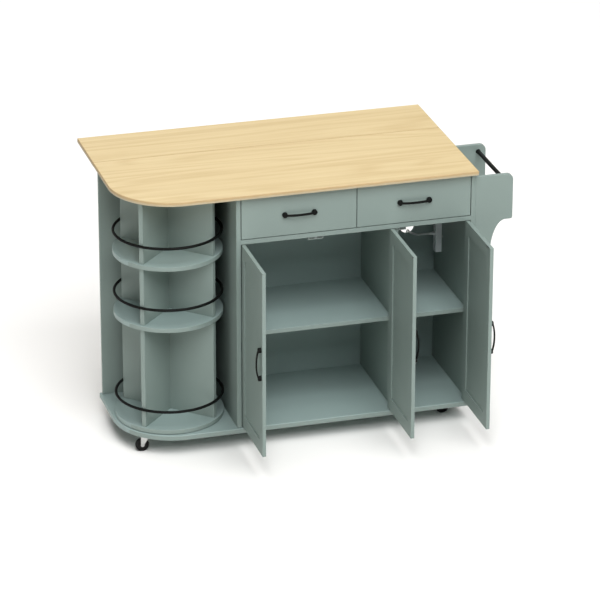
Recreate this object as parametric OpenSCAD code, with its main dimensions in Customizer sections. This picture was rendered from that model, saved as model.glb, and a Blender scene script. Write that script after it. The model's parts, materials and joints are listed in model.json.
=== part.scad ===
// Drop leaf kitchen island on casters, with a revolving rack in a rounded
// bay, two drawers over three shaker doors and a towel rail at the right end.
//
// Directions: +X runs to the right along the front, +Y to the back, +Z up.
// Inside the modules x counts from the left end of the worktop, y from the
// front of the carcass and z from the floor; in_frame() then puts the origin
// on the floor, under the middle of the island's own outline.
// It stands as it is shown for use: doors open, drawers shut, leaf raised.

/* [Overall] */
// Height of the worktop's upper face above the floor
height = 914; // [880:1:950]
// Length of the worktop
top_len = 1200; // [1170:1:1260]
// Distance from the worktop's left end to the cabinet's left panel
bay_w = 381; // [372:1:400]
// Depth of the side panels
depth = 396; // [380:1:420]
// Thickness of the painted boards
board_t = 15; // [12:0.5:18]

/* [Worktop and leaf] */
// Thickness of the worktop and of the leaf
top_t = 15; // [15:0.5:22]
// How far the worktop stands out over the front
top_over_front = 25; // [15:1:40]
// How far the worktop stands out past the right side panel
top_over_right = 2; // [0:0.5:8]
// Radius of the worktop's front left corner
top_corner_r = 210; // [190:1:225]
// Radius that eases the long edges of the worktop
edge_r = 3; // [1:0.5:5]
// Width of the hinged leaf, front to back
leaf_w = 234.5; // [225:0.5:260]
// Seam between the worktop and the leaf
seam = 1.5; // [1:0.5:3]

/* [Carcass] */
// Thickness of the base board
base_t = 18; // [15:0.5:22]
// How far the base board stands out in front of the carcass
base_over_front = 8; // [4:1:14]
// Distance from the worktop's left end to the base board's left end
base_inset = 5; // [2:1:12]
// Radius of the base board's front left corner
base_corner_r = 205; // [190:1:215]
// Thickness of the cabinet's back panel
back_t = 5; // [3:0.5:8]
// How far the back panel is set in from the rear edge of the side panels
back_set = 10; // [8:0.5:12]
// Thickness of the board behind the revolving rack
bay_back_t = 12; // [9:0.5:13]
// Distance from the worktop's left end to the bay's back board
bay_back_inset = 12.5; // [8:0.5:20]
// Height of the drawer space under the worktop
drawer_space_h = 150; // [140:1:170]
// Height of the shelves' upper faces above the floor
shelf_top = 405; // [360:1:450]
// How far the shelves are set back from the front
shelf_set = 33; // [20:1:60]
// Diameter of the cable hole in the back panel
cable_hole_d = 50; // [40:1:60]
// Height of the cable hole's centre above the floor
cable_hole_z = 573; // [560:1:590]
// Distance from the cable hole's centre to the right side panel
cable_hole_in = 98; // [90:1:110]

/* [Doors] */
// Thickness of a door
door_t = 12; // [12:0.5:13]
// Gap round a door at its sides and above it
door_gap = 2.5; // [2:0.1:3]
// Gap between a door and the base board
door_foot = 5; // [3:0.5:8]
// Width of a door's upright stiles
stile_w = 38; // [30:1:50]
// Height of a door's top and bottom rails
rail_w = 45; // [35:1:60]
// Thickness of a door's panel
panel_t = 4; // [3:0.5:5]
// Depth of the groove that holds the panel
groove_d = 8; // [5:0.5:10]
// Distance from a door's hinge edge to its pivot
pivot_in = 7; // [6.5:0.1:7.5]
// Diameter of the pivot pins
pivot_d = 5; // [4:0.5:5.5]
// Length of each pivot pin inside the door
pivot_len = 18; // [12:1:24]

/* [Drawers] */
// Thickness of a drawer front
front_t = 15; // [12:0.5:18]
// Thickness of a drawer box's sides and back
box_t = 12; // [9:0.5:14]
// Height of a drawer box
box_h = 105; // [90:1:112]
// Gap between a drawer box and the back panel
box_back_gap = 36; // [25:1:60]
// Thickness of a drawer's bottom
bottom_t = 4; // [3:0.5:6]
// Width of one drawer runner, between box and cabinet
runner_w = 12.7; // [12.5:0.1:14]
// Height of a drawer runner
runner_h = 35; // [30:1:45]
// Thickness of the runner's sheet steel
runner_sheet = 1.2; // [1:0.1:1.5]

/* [Handles] */
// Distance between the two posts of a handle
handle_pitch = 100; // [90:1:112]
// Distance from the board's face to the grip's axis at the posts
handle_out = 12.5; // [12:0.5:24]
// Thickness of the grip
grip_d = 8.5; // [6:0.5:10]
// How much further out the grip is at mid length
grip_bow = 6; // [3:0.5:9]
// Diameter of a handle's round foot
foot_d = 20.5; // [18:0.5:24]
// Distance from a door's free edge to its handle
door_handle_in = 17.5; // [16:0.5:24]

/* [Revolving rack] */
// Gap between the round shelves and the cabinet's left panel
rack_side_gap = 3; // [3:0.5:12]
// Gap between the round shelves and the board behind them
rack_back_gap = 14; // [8:0.5:24]
// How far the round shelves stay behind the carcass front
rack_front_in = 4; // [3:0.5:15]
// How far they stay in from the worktop's left end, at least
rack_left_in = 15; // [12:0.5:30]
// Thickness of the round shelves and of the upright fins
disc_t = 15; // [12:0.5:18]
// Heights of the undersides of the upper two round shelves
middle_disc_z = 446; // [400:1:480]
top_disc_z = 663; // [640:0.5:690]
// Gap between the lowest round shelf and the base board
rack_lift = 2; // [1.5:0.5:6]
// Height of a guard ring's wire above its round shelf
guard_h = 63.5; // [50:0.5:80]
// Diameter of the guard rings' wire
guard_d = 8; // [4:0.5:9]
// Angle that the rack is turned by, as it is shown
rack_turn = 1.5; // [-5:0.5:5]
// Diameter of the turntable bearing's lower plate
turntable_d = 160; // [120:5:200]

/* [Towel rail] */
// Reach of the two bracket boards beyond the side panel
ear_reach = 130; // [120:1:150]
// Distance from the floor to the top of the bracket boards
ear_top = 883; // [870:1:890]
// Height of the wide upper part of the bracket boards
ear_h = 159; // [140:1:170]
// Width of the narrow leg below it
ear_leg_w = 54; // [45:1:60]
// Full height of the bracket boards
ear_full_h = 403; // [340:1:500]
// Radius of the bracket boards' top outer corner
ear_top_r = 20; // [12:1:30]
// Distance from the front face to the rear bracket board
ear_back_y = 283; // [260:1:300]
// Diameter of the towel rail
rail_d = 12; // [10:0.5:16]
// Distance from the side panel to the rail's axis
rail_out = 103; // [95:1:110]
// Distance from the top of the bracket boards to the rail's axis
rail_drop = 24; // [20:1:30]
// Depth of the blind hole that holds each end of the rail
rail_seat = 8; // [5:0.5:10]

/* [Leaf hinges and brackets] */
// Distance from the underside of the worktop down to the hinge axis
axis_drop = 5; // [4.5:0.5:6]
// Length of each of the leaf's hinges
hinge_len = 60; // [50:1:80]
// Distance of the outer hinges from the ends of the worktop
hinge_inset = 110; // [90:1:130]
// Height of a folding bracket: hinge axis down to its lower pivot
bracket_h = 80; // [70:1:95]
// Reach of a folding bracket under the raised leaf
bracket_reach = 115; // [100:1:120]
// Distance from the cabinet's side panels to the folding brackets
bracket_in = 75; // [50:1:120]
// Thickness of the bracket's sheet steel
bracket_sheet = 1.5; // [1:0.5:2]
// Thickness of the folding brace
brace_t = 4; // [3:0.5:4]

/* [Casters] */
// Total height of a caster
caster_h = 60; // [56:1:70]
// Diameter of a caster's wheel
wheel_d = 45; // [38:1:46]
// Width of a caster's wheel
wheel_w = 15; // [12:1:20]
// Distance from the wheel's axle to the swivel axis
trail = 12; // [8:1:16]
// Width of a caster's square mounting plate
plate_w = 38; // [34:1:42]
// Distance of the left swivels from the base board's left end
caster_left_in = 81; // [78:1:95]
// Distances of the right swivels, front and rear, from its right end
caster_fr_in = 61; // [55:1:75]
caster_br_in = 57; // [52:1:75]
// Distances of the front swivels, left and right, from the carcass front
caster_fl_y = 78.5; // [76:0.5:100]
caster_fr_y = 92; // [80:0.5:100]
// Distance of the rear swivels from the rear of the carcass
caster_rear_in = 88; // [80:1:100]

/* [Power outlet and lead] */
// How far the outlet box stands out from the side panel
outlet_t = 21; // [16:1:30]
// Width of the outlet box
outlet_w = 27; // [26:1:40]
// Height of the outlet box
outlet_h = 130; // [124:1:150]
// Height of the outlet box's lower end above the floor
outlet_z = 498; // [480:1:520]
// Distance from the outlet box to the back panel
outlet_back_gap = 54; // [50:1:80]
// Height of the lead's exit above the outlet box's lower end
exit_up = 68; // [60:1:70]
// Diameter of the lead
lead_d = 7; // [6:0.5:8]
// Length of the tapered sleeve that guards the lead's exit
sleeve_len = 22; // [18:1:26]
// Least radius of the coil's turns, at the middle of the lead
coil_in_r = 29.5; // [28:0.5:36]
// Turns in each of the coil's two layers
layer_turns = 2; // [1:1:3]

/* [Hidden] */
$fn = 64;
paint = [0.56, 0.64, 0.61];
paint_inside = [0.50, 0.58, 0.55];
timber = [0.91, 0.80, 0.60];
black_metal = [0.07, 0.07, 0.07];
steel = [0.75, 0.76, 0.77];
plastic_grey = [0.48, 0.49, 0.49];
lead_grey = [0.52, 0.53, 0.53];

run_gap = 0.05;      // radial clearance of a pin that turns in its hole
part_gap = 0.5;      // clearance between faces that pass each other
fit_gap = 0.3;       // clearance of a piece that sits in a groove or rebate

// Heights above the floor
base_z = caster_h;
floor_z = base_z + base_t;             // upper face of the base board
under_z = height - top_t;              // underside of the worktop
deck_top = under_z - drawer_space_h;
deck_z = deck_top - board_t;

// Places from left to right
right_x1 = top_len - top_over_right;   // outer face of the right panel
right_x0 = right_x1 - board_t;
left_x0 = bay_w;
left_x1 = left_x0 + board_t;           // inner face of the left panel
inside_w = right_x0 - left_x1;
base_x1 = right_x1;

// Places from front to back
back_y = depth - back_set - back_t;    // inner face of the back panel
back_y1 = depth - back_set;
seam_y = depth + 0.5;                  // rear edge of the fixed worktop
axis_y = seam_y + seam / 2;            // axis of the leaf's hinges
axis_z = under_z - axis_drop;
leaf_y0 = seam_y + seam;
leaf_y1 = leaf_y0 + leaf_w;

// Doors
door_count = 3;
door_w = (inside_w - (door_count + 1) * door_gap) / door_count;
door_z = floor_z + door_foot;
door_h = deck_z - door_gap - door_z;
pivot_back = door_t / 2;               // pivot axis behind the door's face
door_rest = 90;                        // the doors stand open
door_free = door_w - pivot_in;         // pivot to the free edge
hinge_round = 2;                       // rounding of the hinge edge
door_x = [for (i = [0:door_count - 1]) left_x1 + door_gap + i * (door_w + door_gap)];
pivot_x = [door_x[0] + pivot_in, door_x[1] + door_w - pivot_in,
           door_x[2] + door_w - pivot_in];
divider_x = door_x[2] + part_gap;      // behind the right door's free edge
catch_h = 8;
catch_w = 26;
catch_len = 22;
catch_shift = 5.5;                     // middle of the pair, left of the doors' joint

// The island's own outline, which puts the origin in its middle
mid_x = (right_x1 + ear_reach) / 2;
mid_y = (pivot_back - door_free + leaf_y1) / 2;

// Drawers
drawer_w = (inside_w - 3 * door_gap) / 2;
drawer_x = [left_x1 + door_gap, left_x1 + 2 * door_gap + drawer_w];
drawer_z = deck_top + door_gap;
drawer_h = drawer_space_h - 2 * door_gap;
partition_x = left_x1 + inside_w / 2 - board_t / 2;
box_len = back_y - front_t - box_back_gap;
box_x = [left_x1 + runner_w, partition_x + board_t + runner_w];
box_w = partition_x - left_x1 - 2 * runner_w;
box_z = deck_top + 11;
bottom_up = 8;                         // drawer bottom above the box's lower edge
runner_z = box_z + box_h * 0.3;        // mid height of the runners
runner_y = front_t + 5;
runner_len = box_len - 10;

// Rack: the round shelves are as large as the bay lets them be
disc_r = min(back_y - rack_back_gap - rack_front_in, left_x0 - rack_side_gap - rack_left_in) / 2;
rack_x = left_x0 - rack_side_gap - disc_r;
rack_y = back_y - rack_back_gap - disc_r;
rack_z = floor_z + rack_lift;          // underside of the lowest round shelf
disc_z = [rack_z, middle_disc_z, top_disc_z];
rack_top = under_z - 2.5;              // top of the fins
guard_r = disc_r - guard_d / 2 + 0.6;  // radius of the wire's middle
fin_r = guard_r - guard_d / 2 - fit_gap;
turntable_recess = 5;
stud_r = 6;
head_pin_r = 5;
head_pin_len = 17;
head_plate_t = 2;

// Bracket boards of the towel rail
ear_low_r = 8;
ear_foot_r = 20;
ear_curve_h = 120;
ear_curve_w = ear_reach - ear_leg_w - ear_low_r - 17;

// Folding brackets, seen from the side with the hinge axis at the centre
pin_back = 4.75;                       // lower pivot behind the hinge axis
tip_drop = 0.8;                        // brace tip below the hinge axis
tip_r = 3.5;
heel_r = 4.5;
brace_pin_r = 2.5;
brace_len = norm([bracket_reach + pin_back, bracket_h - tip_drop]);
brace_up = atan2(bracket_reach + pin_back, bracket_h - tip_drop);
brace_down = atan2(pin_back - tip_drop, -sqrt(pow(brace_len, 2) - pow(pin_back - tip_drop, 2)));
fold_reach = bracket_h + sqrt(pow(brace_len, 2) - pow(pin_back - tip_drop, 2));
bracket_x = [left_x1 + bracket_in, right_x0 - bracket_in];
echo(brace_turn_per_leaf_turn = (brace_down - brace_up) / 90);

// Hinges of the leaf
knuckle_r = 4;
hinge_sheet = 1.8;
hinge_pin_r = 1.5;
plate_y = knuckle_r + fit_gap;        // the plates stop short of the knuckles
hinge_x = [hinge_inset, top_len / 2, top_len - hinge_inset];

// Casters
caster_place = [[base_inset + caster_left_in, caster_fl_y], [base_x1 - caster_fr_in, caster_fr_y],
    [base_inset + caster_left_in, depth - caster_rear_in],
    [base_x1 - caster_br_in, depth - caster_rear_in]];
axle_r = 3;
king_r = 4;
crown_top = caster_h - 6;
cheek_t = 1.5;
cheek_in = wheel_w / 2 + 1;
cheek_r = 6;
crown_r = 12;

// Power outlet
outlet_x = right_x0 - outlet_t;
outlet_y = back_y - outlet_back_gap - outlet_w;
sleeve_at = [outlet_x, outlet_y + outlet_w / 2, outlet_z + exit_up];
socket_r = 12;
socket_up = 21;                        // socket's centre to the box's nearer end
hole_x = right_x0 - cable_hole_in;

// Route of the lead: from its sleeve to the rim of the cable hole, given as
// parts of the way along x, y and z, then down behind the cabinet to the floor
lead_exit = sleeve_at - [sleeve_len, 0, 0];
rim_right = 7;                         // where it lies in the hole, right of the middle
lead_rim = [hole_x + rim_right, back_y, cable_hole_z + lead_d / 2 + 1
    - sqrt(pow(cable_hole_d / 2, 2) - pow(rim_right, 2))];
drop_y = depth + 28;
floor_rest = lead_d / 2 + 0.1;
way_in = [[0, 0, 0], [0.05, 0, 0], [0.1, 0, 0], [0.22, 0.018, 0.03], [0.36, 0.066, 0.13],
    [0.5, 0.134, 0.28], [0.643, 0.234, 0.49], [0.766, 0.357, 0.62], [0.866, 0.5, 0.75],
    [0.94, 0.658, 0.88], [0.985, 0.826, 1], [1, 1, 1]];
way_out = [[0, 13, -0.5], [0, 25, -5], [0, 34, -16], [0, 38, -31]];
way_down = 12;                         // points of the hanging stretch
bend_z = 70;                           // its lower end
way_foot = [[-2, 42.4], [-9, 22.4], [-21, 9.4], [-34, 3.4], [-48, 0.6], [-62, 0], [-75, 0]];
lead_route = concat(
    [for (f = way_in) [for (k = [0:2]) lead_exit[k] + f[k] * (lead_rim[k] - lead_exit[k])]],
    [for (p = way_out) lead_rim + p],
    [for (i = [0:way_down - 1]) let (f = i / (way_down - 1))
        [lead_rim.x, drop_y - 3 * pow(1 - f, 2), lead_rim.z - 54 - f * (lead_rim.z - 54 - bend_z)]],
    [for (p = way_foot) [lead_rim.x + p[0], drop_y, floor_rest + p[1]]]);

// Coil of the put-away length: two layers, spiral in and out again
turn_pitch = lead_d + 0.6;
layer_step = lead_d + 0.6;
coil_turns = 2 * layer_turns + 0.5;
coil_out_r = coil_in_r + layer_turns * turn_pitch + turn_pitch / 4;
coil_c = [lead_rim.x - 82, drop_y + coil_out_r, floor_rest];
coil_rings = 24;
plug_len = 36;
plug_w = 27;
plug_sleeve = 28;

// ---------- shared shapes ----------

module in_frame() translate([-mid_x, -mid_y, 0]) children();

// Solid block between two opposite corners
module block(a, b) translate(a) cube(b - a);

// Points along an arc of radius r about c, from angle a0 to a1
function arc(c, r, a0, a1, n = 6) =
    [for (i = [0:n]) c + r * [cos(a0 + (a1 - a0) * i / n), sin(a0 + (a1 - a0) * i / n)]];

// Outline of a w by h rectangle with all four corners rounded
function round_rect(w, h, r, n = 6) = concat(
    arc([r, r], r, 180, 270, n), arc([w - r, r], r, 270, 360, n),
    arc([w - r, h - r], r, 0, 90, n), arc([r, h - r], r, 90, 180, n));

// Cylinder along X or Y instead of Z
module rod_x(r, l) rotate([0, 90, 0]) cylinder(r = r, h = l);
module rod_y(r, l) rotate([-90, 0, 0]) cylinder(r = r, h = l);

// Board with one round corner, front left; its edges follow edge_2d(width)
module corner_board(x0, x1, y0, y1, r, t) {
    translate([x0 + r, y0 + r, 0]) rotate([0, 0, 180])
        rotate_extrude(angle = 90, $fn = 128) eased_edge(r, t);
    translate([x0 + r, y0 + r, 0]) rotate([90, 0, 90])
        linear_extrude(x1 - x0 - r) mirror([1, 0]) eased_edge(r, t);
    translate([x0 + r, y1, 0]) rotate([90, 0, 0])
        linear_extrude(y1 - y0 - r) mirror([1, 0]) eased_edge(r, t);
    block([x0 + r, y0 + r, 0], [x1, y1, t]);
}

// Section of a board that is w wide from its core to its eased edge
module eased_edge(w, t) {
    e = edge_r;
    polygon(concat([[0, 0]], arc([w - e, e], e, -90, 0, 4),
                   arc([w - e, t - e], e, 0, 90, 4), [[0, t]]));
}

// Smooth curve through hand-set points, two steps to each stretch
function between(p0, p1, p2, p3, t) =
    0.5 * (2 * p1 + (p2 - p0) * t + (2 * p0 - 5 * p1 + 4 * p2 - p3) * t * t
           + (3 * p1 - p0 - 3 * p2 + p3) * t * t * t);
function smooth(p) = let (n = len(p) - 1) concat(
    [for (i = [0:n - 1], s = [0, 0.5])
        between(p[max(i - 1, 0)], p[i], p[i + 1], p[min(i + 2, n)], s)],
    [p[n]]);

// Directions along a path, and the rings of a round tube that follows it
function unit(v) = v / norm(v);
function heading(p, i) = unit(p[min(i + 1, len(p) - 1)] - p[max(i - 1, 0)]);
function ring(c, dir, ref, r, n) =
    let (u = unit(cross(dir, ref)), v = cross(dir, u))
    [for (k = [0:n - 1]) c + r * (u * cos(360 * k / n) + v * sin(360 * k / n))];

// Triangles of a tube with m rings of n points, closed at both ends
function tube_faces(m, n) = concat(
    [for (i = [0:m - 2], k = [0:n - 1], half = [0, 1])
        let (a = i * n + k, b = i * n + (k + 1) % n)
        half == 0 ? [a, b, b + n] : [a, b + n, a + n]],
    [for (k = [1:n - 2]) [0, k + 1, k]],
    [for (k = [1:n - 2]) let (e = (m - 1) * n) [e, e + k, e + k + 1]]);

module tube(path, r, n, ref) polyhedron(
    points = [for (i = [0:len(path) - 1], q = ring(path[i], heading(path, i), ref, r, n)) q],
    faces = tube_faces(len(path), n), convexity = 10);

function path_len(p, i = 0) =
    i >= len(p) - 1 ? 0 : norm(p[i + 1] - p[i]) + path_len(p, i + 1);

// ---------- carcass ----------

module base_board() color(paint) in_frame() difference() {
    translate([0, 0, base_z])
        corner_board(base_inset, base_x1, -base_over_front, depth, base_corner_r, base_t);
    translate([rack_x, rack_y, floor_z - turntable_recess])
        cylinder(d = turntable_d + 2 * part_gap, h = turntable_recess + 1);
    for (x = pivot_x) translate([x, pivot_back, floor_z - 8]) cylinder(d = pivot_d, h = 9);
}

module side_panel_left() color(paint) in_frame()
    block([left_x0, 0, floor_z], [left_x1, depth, under_z]);

module side_panel_right() color(paint) in_frame()
    block([right_x0, 0, floor_z], [right_x1, depth, under_z]);

module divider() color(paint_inside) in_frame()
    block([divider_x, door_t + 2, floor_z], [divider_x + board_t, back_y, deck_z]);

module cabinet_back() color(paint_inside) in_frame() difference() {
    block([left_x1, back_y, floor_z], [right_x0, back_y1, under_z]);
    translate([hole_x, back_y - 1, cable_hole_z]) rod_y(cable_hole_d / 2, back_t + 2);
}

// The board behind the rack has a notch for the leaf's left hinge
module bay_back() color(paint) in_frame() difference() {
    block([bay_back_inset, back_y, floor_z], [left_x0, back_y + bay_back_t, under_z]);
    block([hinge_x[0] - hinge_len / 2 - 1, back_y1 - part_gap, axis_z - knuckle_r - 1],
          [hinge_x[0] + hinge_len / 2 + 1, back_y + bay_back_t + 1, under_z + 1]);
}

module drawer_deck() color(paint) in_frame() difference() {
    block([left_x1, 0, deck_z], [right_x0, back_y, deck_top]);
    for (x = pivot_x) translate([x, pivot_back, deck_z - 1]) cylinder(d = pivot_d, h = 9);
}

module drawer_partition() color(paint_inside) in_frame()
    block([partition_x, front_t + 2, deck_top], [partition_x + board_t, back_y, under_z]);

module shelf_left() color(paint) in_frame()
    block([left_x1, shelf_set, shelf_top - board_t], [divider_x, back_y, shelf_top]);

module shelf_right() color(paint) in_frame()
    block([divider_x + board_t, shelf_set, shelf_top - board_t], [right_x0, back_y, shelf_top]);

module worktop() color(timber) in_frame() translate([0, 0, under_z])
    corner_board(0, top_len, -top_over_front, seam_y, top_corner_r, top_t);

// ---------- doors ----------

// Puts a door's own frame in place: x runs from the pivot to the free edge,
// y = 0 is the pivot axis and the outer face looks to -y
module at_door(i) in_frame() translate([pivot_x[i], pivot_back, door_z])
    rotate([0, 0, i == 0 ? -door_rest : door_rest]) mirror([i == 0 ? 0 : 1, 0, 0]) children();

// Stiles and rails with the groove for the panel, and the pivot holes
module door_frame(i) color(paint) at_door(i) difference() {
    linear_extrude(door_h) polygon(concat(
        arc([hinge_round - pivot_in, hinge_round - pivot_back], hinge_round, 180, 270),
        [[door_free, -pivot_back], [door_free, door_t - pivot_back]],
        arc([hinge_round - pivot_in, door_t - pivot_back - hinge_round], hinge_round, 90, 180)));
    block([stile_w - pivot_in, -door_t, rail_w], [door_free - stile_w, door_t, door_h - rail_w]);
    block([stile_w - pivot_in - groove_d, -panel_t / 2 - run_gap, rail_w - groove_d],
          [door_free - stile_w + groove_d, panel_t / 2 + run_gap, door_h - rail_w + groove_d]);
    for (z = [-1, door_h - pivot_len - part_gap])
        translate([0, 0, z]) cylinder(r = pivot_d / 2 + run_gap, h = pivot_len + part_gap + 1);
}

module door_panel(i) color(paint) at_door(i)
    block([stile_w - pivot_in - groove_d + fit_gap, -panel_t / 2, rail_w - groove_d + fit_gap],
          [door_free - stile_w + groove_d - fit_gap, panel_t / 2,
           door_h - rail_w + groove_d - fit_gap]);

module door_handle(i) color(black_metal) at_door(i)
    translate([door_free - door_handle_in, -pivot_back, door_h / 2]) rotate([0, 90, 0]) handle();

// Pins in base board and deck; a shoulder carries each door at its foot
module door_pivots() color(steel) in_frame() for (x = pivot_x) {
    translate([x, pivot_back, floor_z - 8]) cylinder(d = pivot_d, h = 8 + door_foot + pivot_len);
    translate([x, pivot_back, floor_z]) cylinder(r = pivot_back - part_gap, h = door_foot - fit_gap);
    translate([x, pivot_back, deck_z - door_gap - pivot_len])
        cylinder(d = pivot_d, h = pivot_len + door_gap + 8);
}

// Magnetic catches under the deck: a double one where the left and middle
// doors meet, a single one at the free edge of the right door
module door_catches() color(paint) in_frame() {
    y0 = door_t + part_gap;
    pair_x = door_x[1] - door_gap / 2 - catch_shift - catch_w;
    block([pair_x, y0, deck_z - catch_h], [pair_x + 2 * catch_w, y0 + catch_len, deck_z]);
    block([divider_x + board_t, y0, deck_z - catch_h],
          [divider_x + board_t + catch_w, y0 + catch_len, deck_z]);
}

// ---------- handle ----------

// Bow handle: length along X, feet on y = 0, grip towards -y. Each post
// flares into a round foot and closes in a dome over the end of the grip.
module handle() {
    half = handle_pitch / 2;
    bow_r = (half * half + grip_bow * grip_bow) / (2 * grip_bow);
    bow_a = asin(half / bow_r);
    foot_r = foot_d / 2;
    post_r = grip_d / 2 + 2.2;
    dome = grip_d / 2 + 1.6;
    for (s = [-1, 1]) translate([s * half, 0, 0]) rotate([90, 0, 0])
        rotate_extrude() polygon(concat(
            [[0, 0], [foot_r, 0], [foot_r, 2], [foot_r - 1.5, 3.5],
             [post_r + 0.7, handle_out * 0.5], [post_r, handle_out * 0.7]],
            [for (a = [0:15:90]) [post_r * cos(a), handle_out + dome * sin(a)]]));
    translate([0, bow_r - handle_out - grip_bow, 0]) rotate([0, 0, -90 - bow_a])
        rotate_extrude(angle = 2 * bow_a, $fn = 360) translate([bow_r, 0]) circle(d = grip_d);
}

// ---------- drawers ----------

module drawer_front(i) color(paint) in_frame()
    block([drawer_x[i], 0, drawer_z], [drawer_x[i] + drawer_w, front_t, drawer_z + drawer_h]);

// Glued tray: two sides, a back and a bottom let into them
module drawer_box(i) color(timber) in_frame() translate([box_x[i], front_t, box_z])
    difference() {
        cube([box_w, box_len, box_h]);
        translate([box_t, -1, bottom_up + bottom_t])
            cube([box_w - 2 * box_t, box_len - box_t + 1, box_h]);
        translate([box_t, -1, -1]) cube([box_w - 2 * box_t, box_len - box_t + 1, bottom_up + 1]);
    }

module drawer_handle(i) color(black_metal) in_frame()
    translate([drawer_x[i] + drawer_w / 2, 0, drawer_z + drawer_h / 2]) handle();

// Channel of sheet steel: web on x = 0, flanges reach towards +x
module channel(h, w, t, l) rotate([-90, 0, 0]) linear_extrude(l) polygon([
    [0, -h / 2], [w, -h / 2], [w, t - h / 2], [t, t - h / 2],
    [t, h / 2 - t], [w, h / 2 - t], [w, h / 2], [0, h / 2]]);

// Places of the four runners: x of the cabinet side and the way they face
runner_sides = [[left_x1, 1], [partition_x, -1], [partition_x + board_t, 1], [right_x0, -1]];

module at_runner(k) in_frame() translate([runner_sides[k][0], runner_y, runner_z])
    mirror([runner_sides[k][1] > 0 ? 0 : 1, 0, 0]) children();

module drawer_runners() color(steel)
    for (k = [0:3]) at_runner(k) channel(runner_h, runner_w * 0.7, runner_sheet, runner_len);

// Inner members slide between the flanges of the fixed channels
module drawer_slides(i) color(steel) for (k = [2 * i, 2 * i + 1])
    at_runner(k) translate([runner_w, 0, 0]) mirror([1, 0, 0])
        channel(runner_h - 2 * runner_sheet - 2 * part_gap, runner_w * 0.7, runner_sheet, runner_len);

// ---------- revolving rack ----------

module at_rack() in_frame() translate([rack_x, rack_y, 0]) children();

module rack_disc(k) color(paint) at_rack() translate([0, 0, disc_z[k]])
    cylinder(r = disc_r, h = disc_t, $fn = 180);

// Four upright fins between each pair of round shelves, on the diagonals
module rack_fins() color(paint) at_rack() difference() {
    for (k = [0:2]) {
        z0 = disc_z[k] + disc_t;
        z1 = k < 2 ? disc_z[k + 1] : rack_top;
        for (a = [45, 135]) rotate([0, 0, a + rack_turn])
            block([-fin_r, -disc_t / 2, z0], [fin_r, disc_t / 2, z1]);
    }
    translate([0, 0, rack_top - head_pin_len - 1])
        cylinder(r = head_pin_r + run_gap, h = head_pin_len + 2);
}

module guard_rings() color(black_metal) at_rack() for (z = disc_z)
    translate([0, 0, z + disc_t + guard_h]) rotate_extrude($fn = 180)
        translate([guard_r, 0]) circle(d = guard_d, $fn = 24);

// Turning plate of the bearing, screwed to the lowest round shelf
module turntable_plate() color(steel) at_rack() difference() {
    translate([0, 0, floor_z - 1]) cylinder(d = turntable_d - 10, h = rack_lift + 1);
    translate([0, 0, floor_z - 2]) cylinder(r = stud_r + run_gap, h = rack_lift + 3);
}

// Fixed plate with its stud below, and the head pin under the worktop
module rack_pivots() color(steel) at_rack() {
    translate([0, 0, floor_z - turntable_recess]) {
        cylinder(d = turntable_d, h = 1.6);
        difference() {
            cylinder(r = turntable_d / 2 - 14, h = turntable_recess - 1 - part_gap);
            translate([0, 0, -1]) cylinder(r = turntable_d / 2 - 20, h = turntable_recess + 2);
        }
        cylinder(r = stud_r, h = turntable_recess + rack_lift - part_gap);
    }
    translate([0, 0, under_z - head_plate_t]) cylinder(r = 20, h = head_plate_t);
    translate([0, 0, rack_top - head_pin_len])
        cylinder(r = head_pin_r, h = under_z - rack_top + head_pin_len);
}

// ---------- towel rail ----------

// Outline of a bracket board, from its top against the side panel
module ear_outline() {
    low = ear_h - ear_full_h;
    polygon(concat([[0, low]],
        arc([ear_leg_w - ear_foot_r, low + ear_foot_r], ear_foot_r, -90, 0),
        [for (a = [0:7.5:90])
            [ear_leg_w + ear_curve_w * (1 - cos(a)), -ear_curve_h * (1 - sin(a))]],
        arc([ear_reach - ear_low_r, ear_low_r], ear_low_r, -90, 0),
        arc([ear_reach - ear_top_r, ear_h - ear_top_r], ear_top_r, 0, 90),
        [[0, ear_h]]));
}

module towel_brackets() color(paint) in_frame() difference() {
    for (y = [0, ear_back_y]) translate([right_x1, y + board_t, ear_top - ear_h])
        rotate([90, 0, 0]) linear_extrude(board_t) ear_outline();
    translate([right_x1 + rail_out, board_t - rail_seat, ear_top - rail_drop])
        rod_y(rail_d / 2 + run_gap, ear_back_y - board_t + 2 * rail_seat);
}

module towel_rail() color(black_metal) in_frame()
    translate([right_x1 + rail_out, board_t - rail_seat + fit_gap, ear_top - rail_drop])
        rod_y(rail_d / 2, ear_back_y - board_t + 2 * (rail_seat - fit_gap));

// ---------- leaf, its hinges and folding brackets ----------

module drop_leaf() color(timber) in_frame() translate([0, leaf_y0, under_z]) {
    translate([0, leaf_w - top_t, 0]) rotate([90, 0, 90])
        linear_extrude(top_len) eased_edge(top_t, top_t);
    cube([top_len, leaf_w - top_t, top_t]);
}

// Places a hinge: x along its pin, y = 0 and z = 0 on the pin's axis
module at_hinges() for (x = hinge_x) in_frame() translate([x, axis_y, axis_z]) children();

// Fixed half: plate under the worktop, two outer knuckles and the pin
module leaf_hinges() color(steel) at_hinges() {
    third = hinge_len / 3;
    for (s = [-1, 1]) translate([s * third - third / 2, 0, 0]) {
        rod_x(knuckle_r, third);
        block([0, -plate_y, 0], [third, hinge_sheet - knuckle_r, axis_drop]);
    }
    translate([-hinge_len / 2, 0, 0]) rod_x(hinge_pin_r, hinge_len);
    block([-hinge_len / 2, back_y1 - axis_y + part_gap, axis_drop - hinge_sheet],
          [hinge_len / 2, -plate_y, axis_drop]);
}

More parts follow.
